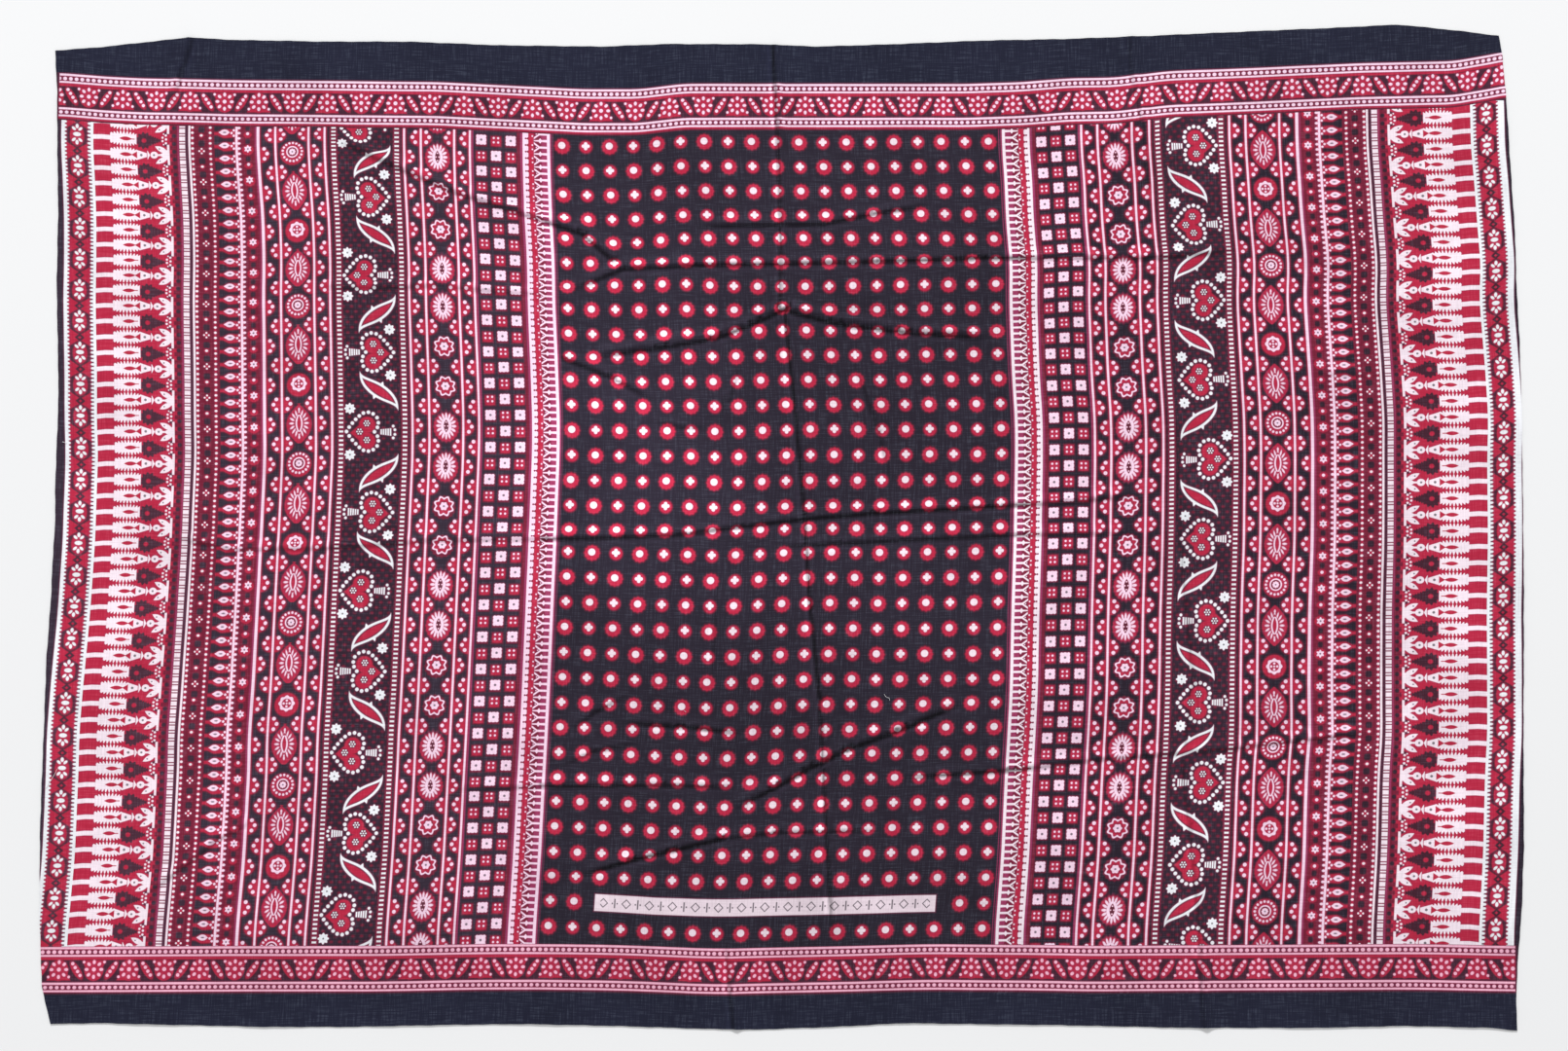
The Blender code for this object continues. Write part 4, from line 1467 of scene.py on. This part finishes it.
def threadMaterial():
    material = bpy.data.materials.new("loose_cotton")
    material.use_nodes = True
    shader = material.node_tree.nodes["Principled BSDF"]
    shader.inputs["Base Color"].default_value = threadLook["colour"]
    shader.inputs["Roughness"].default_value = threadLook["roughness"]
    shader.inputs["Specular IOR Level"].default_value = threadLook["specular"]
    return material


def threadTree(material):
    # a path of points made into a fine round thread that wanders a little
    tree = bpy.data.node_groups.new("loose thread", "GeometryNodeTree")
    tree.interface.new_socket("Geometry", in_out="INPUT", socket_type="NodeSocketGeometry")
    for label, value in (("Thickness", 0.0004), ("Curl", 0.0005), ("Step", 0.0005)):
        tree.interface.new_socket(label, in_out="INPUT", socket_type=number).default_value = value
    tree.interface.new_socket("Geometry", in_out="OUTPUT", socket_type="NodeSocketGeometry")
    source = tree.nodes.new("NodeGroupInput")
    target = tree.nodes.new("NodeGroupOutput")
    kinds = ("MeshToCurve", "CurveSplineType", "ResampleCurve", "SetPosition", "CurveToMesh",
             "RealizeInstances", "SetMaterial")
    made = [tree.nodes.new("GeometryNode" + kind) for kind in kinds]
    path, spline, sample, move, sweep, real, paint = made
    spline.spline_type = "CATMULL_ROM"
    sample.mode = "LENGTH"
    ring = tree.nodes.new("GeometryNodeCurvePrimitiveCircle")
    ring.inputs["Resolution"].default_value = threadLook["sides"]
    noise = tree.nodes.new("ShaderNodeTexNoise")
    noise.inputs["Scale"].default_value = threadLook["curlScale"]
    noise.inputs["Detail"].default_value = 0.0
    centred = tree.nodes.new("ShaderNodeVectorMath")
    centred.operation = "SUBTRACT"
    centred.inputs[1].default_value = (0.5, 0.5, 0.5)
    scaled = tree.nodes.new("ShaderNodeVectorMath")
    scaled.operation = "SCALE"
    half = tree.nodes.new("ShaderNodeMath")
    half.operation = "MULTIPLY"
    half.inputs[1].default_value = 0.5
    sweep.inputs["Fill Caps"].default_value = True
    paint.inputs["Material"].default_value = material
    join = tree.links.new
    join(source.outputs["Geometry"], path.inputs["Mesh"])
    join(path.outputs["Curve"], spline.inputs["Curve"])
    join(spline.outputs["Curve"], sample.inputs["Curve"])
    join(source.outputs["Step"], sample.inputs["Length"])
    join(sample.outputs["Curve"], move.inputs["Geometry"])
    join(noise.outputs["Color"], centred.inputs[0])
    join(centred.outputs[0], scaled.inputs[0])
    join(source.outputs["Curl"], scaled.inputs["Scale"])
    join(scaled.outputs[0], move.inputs["Offset"])
    join(move.outputs["Geometry"], sweep.inputs["Curve"])
    join(source.outputs["Thickness"], half.inputs[0])
    join(half.outputs[0], ring.inputs["Radius"])
    join(ring.outputs["Curve"], sweep.inputs["Profile Curve"])
    join(sweep.outputs["Mesh"], real.inputs["Geometry"])
    join(real.outputs["Geometry"], paint.inputs["Geometry"])
    join(paint.outputs["Geometry"], target.inputs["Geometry"])
    return tree


def heightOfCloth(x, y):
    distance = (cloth["x"] - x) ** 2 + (cloth["y"] - y) ** 2
    nearest = np.unravel_index(int(distance.argmin()), distance.shape)
    return float(cloth["top"][nearest]) if distance.min() < 12.0 else 0.0


def makeThread(name, thickness, curl, path, tree):
    points = [(x * mm, y * mm, (heightOfCloth(x, y) + lift + thickness * 0.6) * mm) for x, y, lift in path]
    line = bpy.data.meshes.new(name + " path")
    line.from_pydata(points, [(k, k + 1) for k in range(len(points) - 1)], [])
    guide = bpy.data.objects.new(name + " path", line)
    scene.collection.objects.link(guide)
    grow = guide.modifiers.new("thread", "NODES")
    grow.node_group = tree
    values = {"Thickness": thickness * mm, "Curl": curl * mm, "Step": threadLook["step"] * mm}
    for socket in tree.interface.items_tree:
        if socket.in_out == "INPUT" and socket.name in values:
            grow[socket.identifier] = values[socket.name]
    bpy.context.view_layer.update()
    mesh = bpy.data.meshes.new_from_object(guide.evaluated_get(bpy.context.evaluated_depsgraph_get()))
    bpy.data.objects.remove(guide)
    mesh.name = name
    mesh.polygons.foreach_set("use_smooth", np.ones(len(mesh.polygons), bool))
    piece = bpy.data.objects.new(name, mesh)
    scene.collection.objects.link(piece)
    return piece


threadNodes = threadTree(threadMaterial())
for name, (thickness, curl, path) in threads.items():
    piece = makeThread(name, thickness, curl, path, threadNodes)
    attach(piece, "root")
    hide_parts("kanga_cloth")
print("loose threads:", len(threads))


# floor, light and camera

floor = {
    "size": 7.0,
    "depth": 0.0004,
    "colour": (0.885, 0.89, 0.90, 1.0),
}


def makeFloor():
    half = floor["size"] / 2
    mesh = bpy.data.meshes.new("floor")
    mesh.from_pydata([(-half, -half, -floor["depth"]), (half, -half, -floor["depth"]),
                      (half, half, -floor["depth"]), (-half, half, -floor["depth"])], [], [(0, 1, 2, 3)])
    material = bpy.data.materials.new("pale_floor")
    material.use_nodes = True
    tree = material.node_tree
    shader = tree.nodes["Principled BSDF"]
    coords = tree.nodes.new("ShaderNodeTexCoord")
    noise = tree.nodes.new("ShaderNodeTexNoise")
    noise.inputs["Scale"].default_value = 1.4
    tree.links.new(coords.outputs["Object"], noise.inputs["Vector"])
    second = tuple(channel * 0.985 for channel in floor["colour"][:3]) + (1.0,)
    pale = mixColour(tree, Wire(tree, noise.outputs[0]), floor["colour"], second)
    tree.links.new(pale.socket, shader.inputs["Base Color"])
    shader.inputs["Roughness"].default_value = 0.95
    shader.inputs["Specular IOR Level"].default_value = 0.1
    mesh.materials.append(material)
    result = bpy.data.objects.new("floor", mesh)
    scene.collection.objects.link(result)
    return result


makeFloor()

lights = {
    "sky": 0.60,
    "keyPower": 1070.0,
    "keySize": 1.8,
    "keyPlace": (-0.9, 9.8, 6.3),
    "keyTarget": (0.0, 0.0, 0.0),
}


def makeLights():
    world = bpy.data.worlds.new("soft studio")
    world.use_nodes = True
    background = world.node_tree.nodes["Background"]
    background.inputs["Color"].default_value = (1.0, 1.0, 1.0, 1.0)
    background.inputs["Strength"].default_value = lights["sky"]
    scene.world = world
    data = bpy.data.lights.new("key", "AREA")
    data.shape = "DISK"
    data.size = lights["keySize"]
    data.energy = lights["keyPower"]
    key = bpy.data.objects.new("key", data)
    scene.collection.objects.link(key)
    key.location = lights["keyPlace"]
    aim = np.array(lights["keyTarget"]) - np.array(lights["keyPlace"])
    key.rotation_euler = (math.atan2(math.hypot(aim[0], aim[1]), -aim[2]), 0.0,
                          math.atan2(aim[1], aim[0]) - math.pi / 2)


makeLights()

view = {
    "target": (-0.0006, -0.0056, 0.0),
    "distance": 2.6,
    "tilt": 4.0,           # degrees the lens leans back from straight down
    "lens": 55.3,
    "sensor": 36.0,
}


def makeCamera():
    data = bpy.data.cameras.new("camera")
    data.lens = view["lens"]
    data.sensor_width = view["sensor"]
    data.sensor_fit = "HORIZONTAL"
    camera = bpy.data.objects.new("camera", data)
    scene.collection.objects.link(camera)
    tilt = math.radians(view["tilt"])
    x, y, z = view["target"]
    camera.location = (x, y - view["distance"] * math.sin(tilt), z + view["distance"] * math.cos(tilt))
    camera.rotation_euler = (tilt, 0.0, 0.0)
    scene.camera = camera


makeCamera()
scene.view_settings.view_transform = "Standard"

print("done")
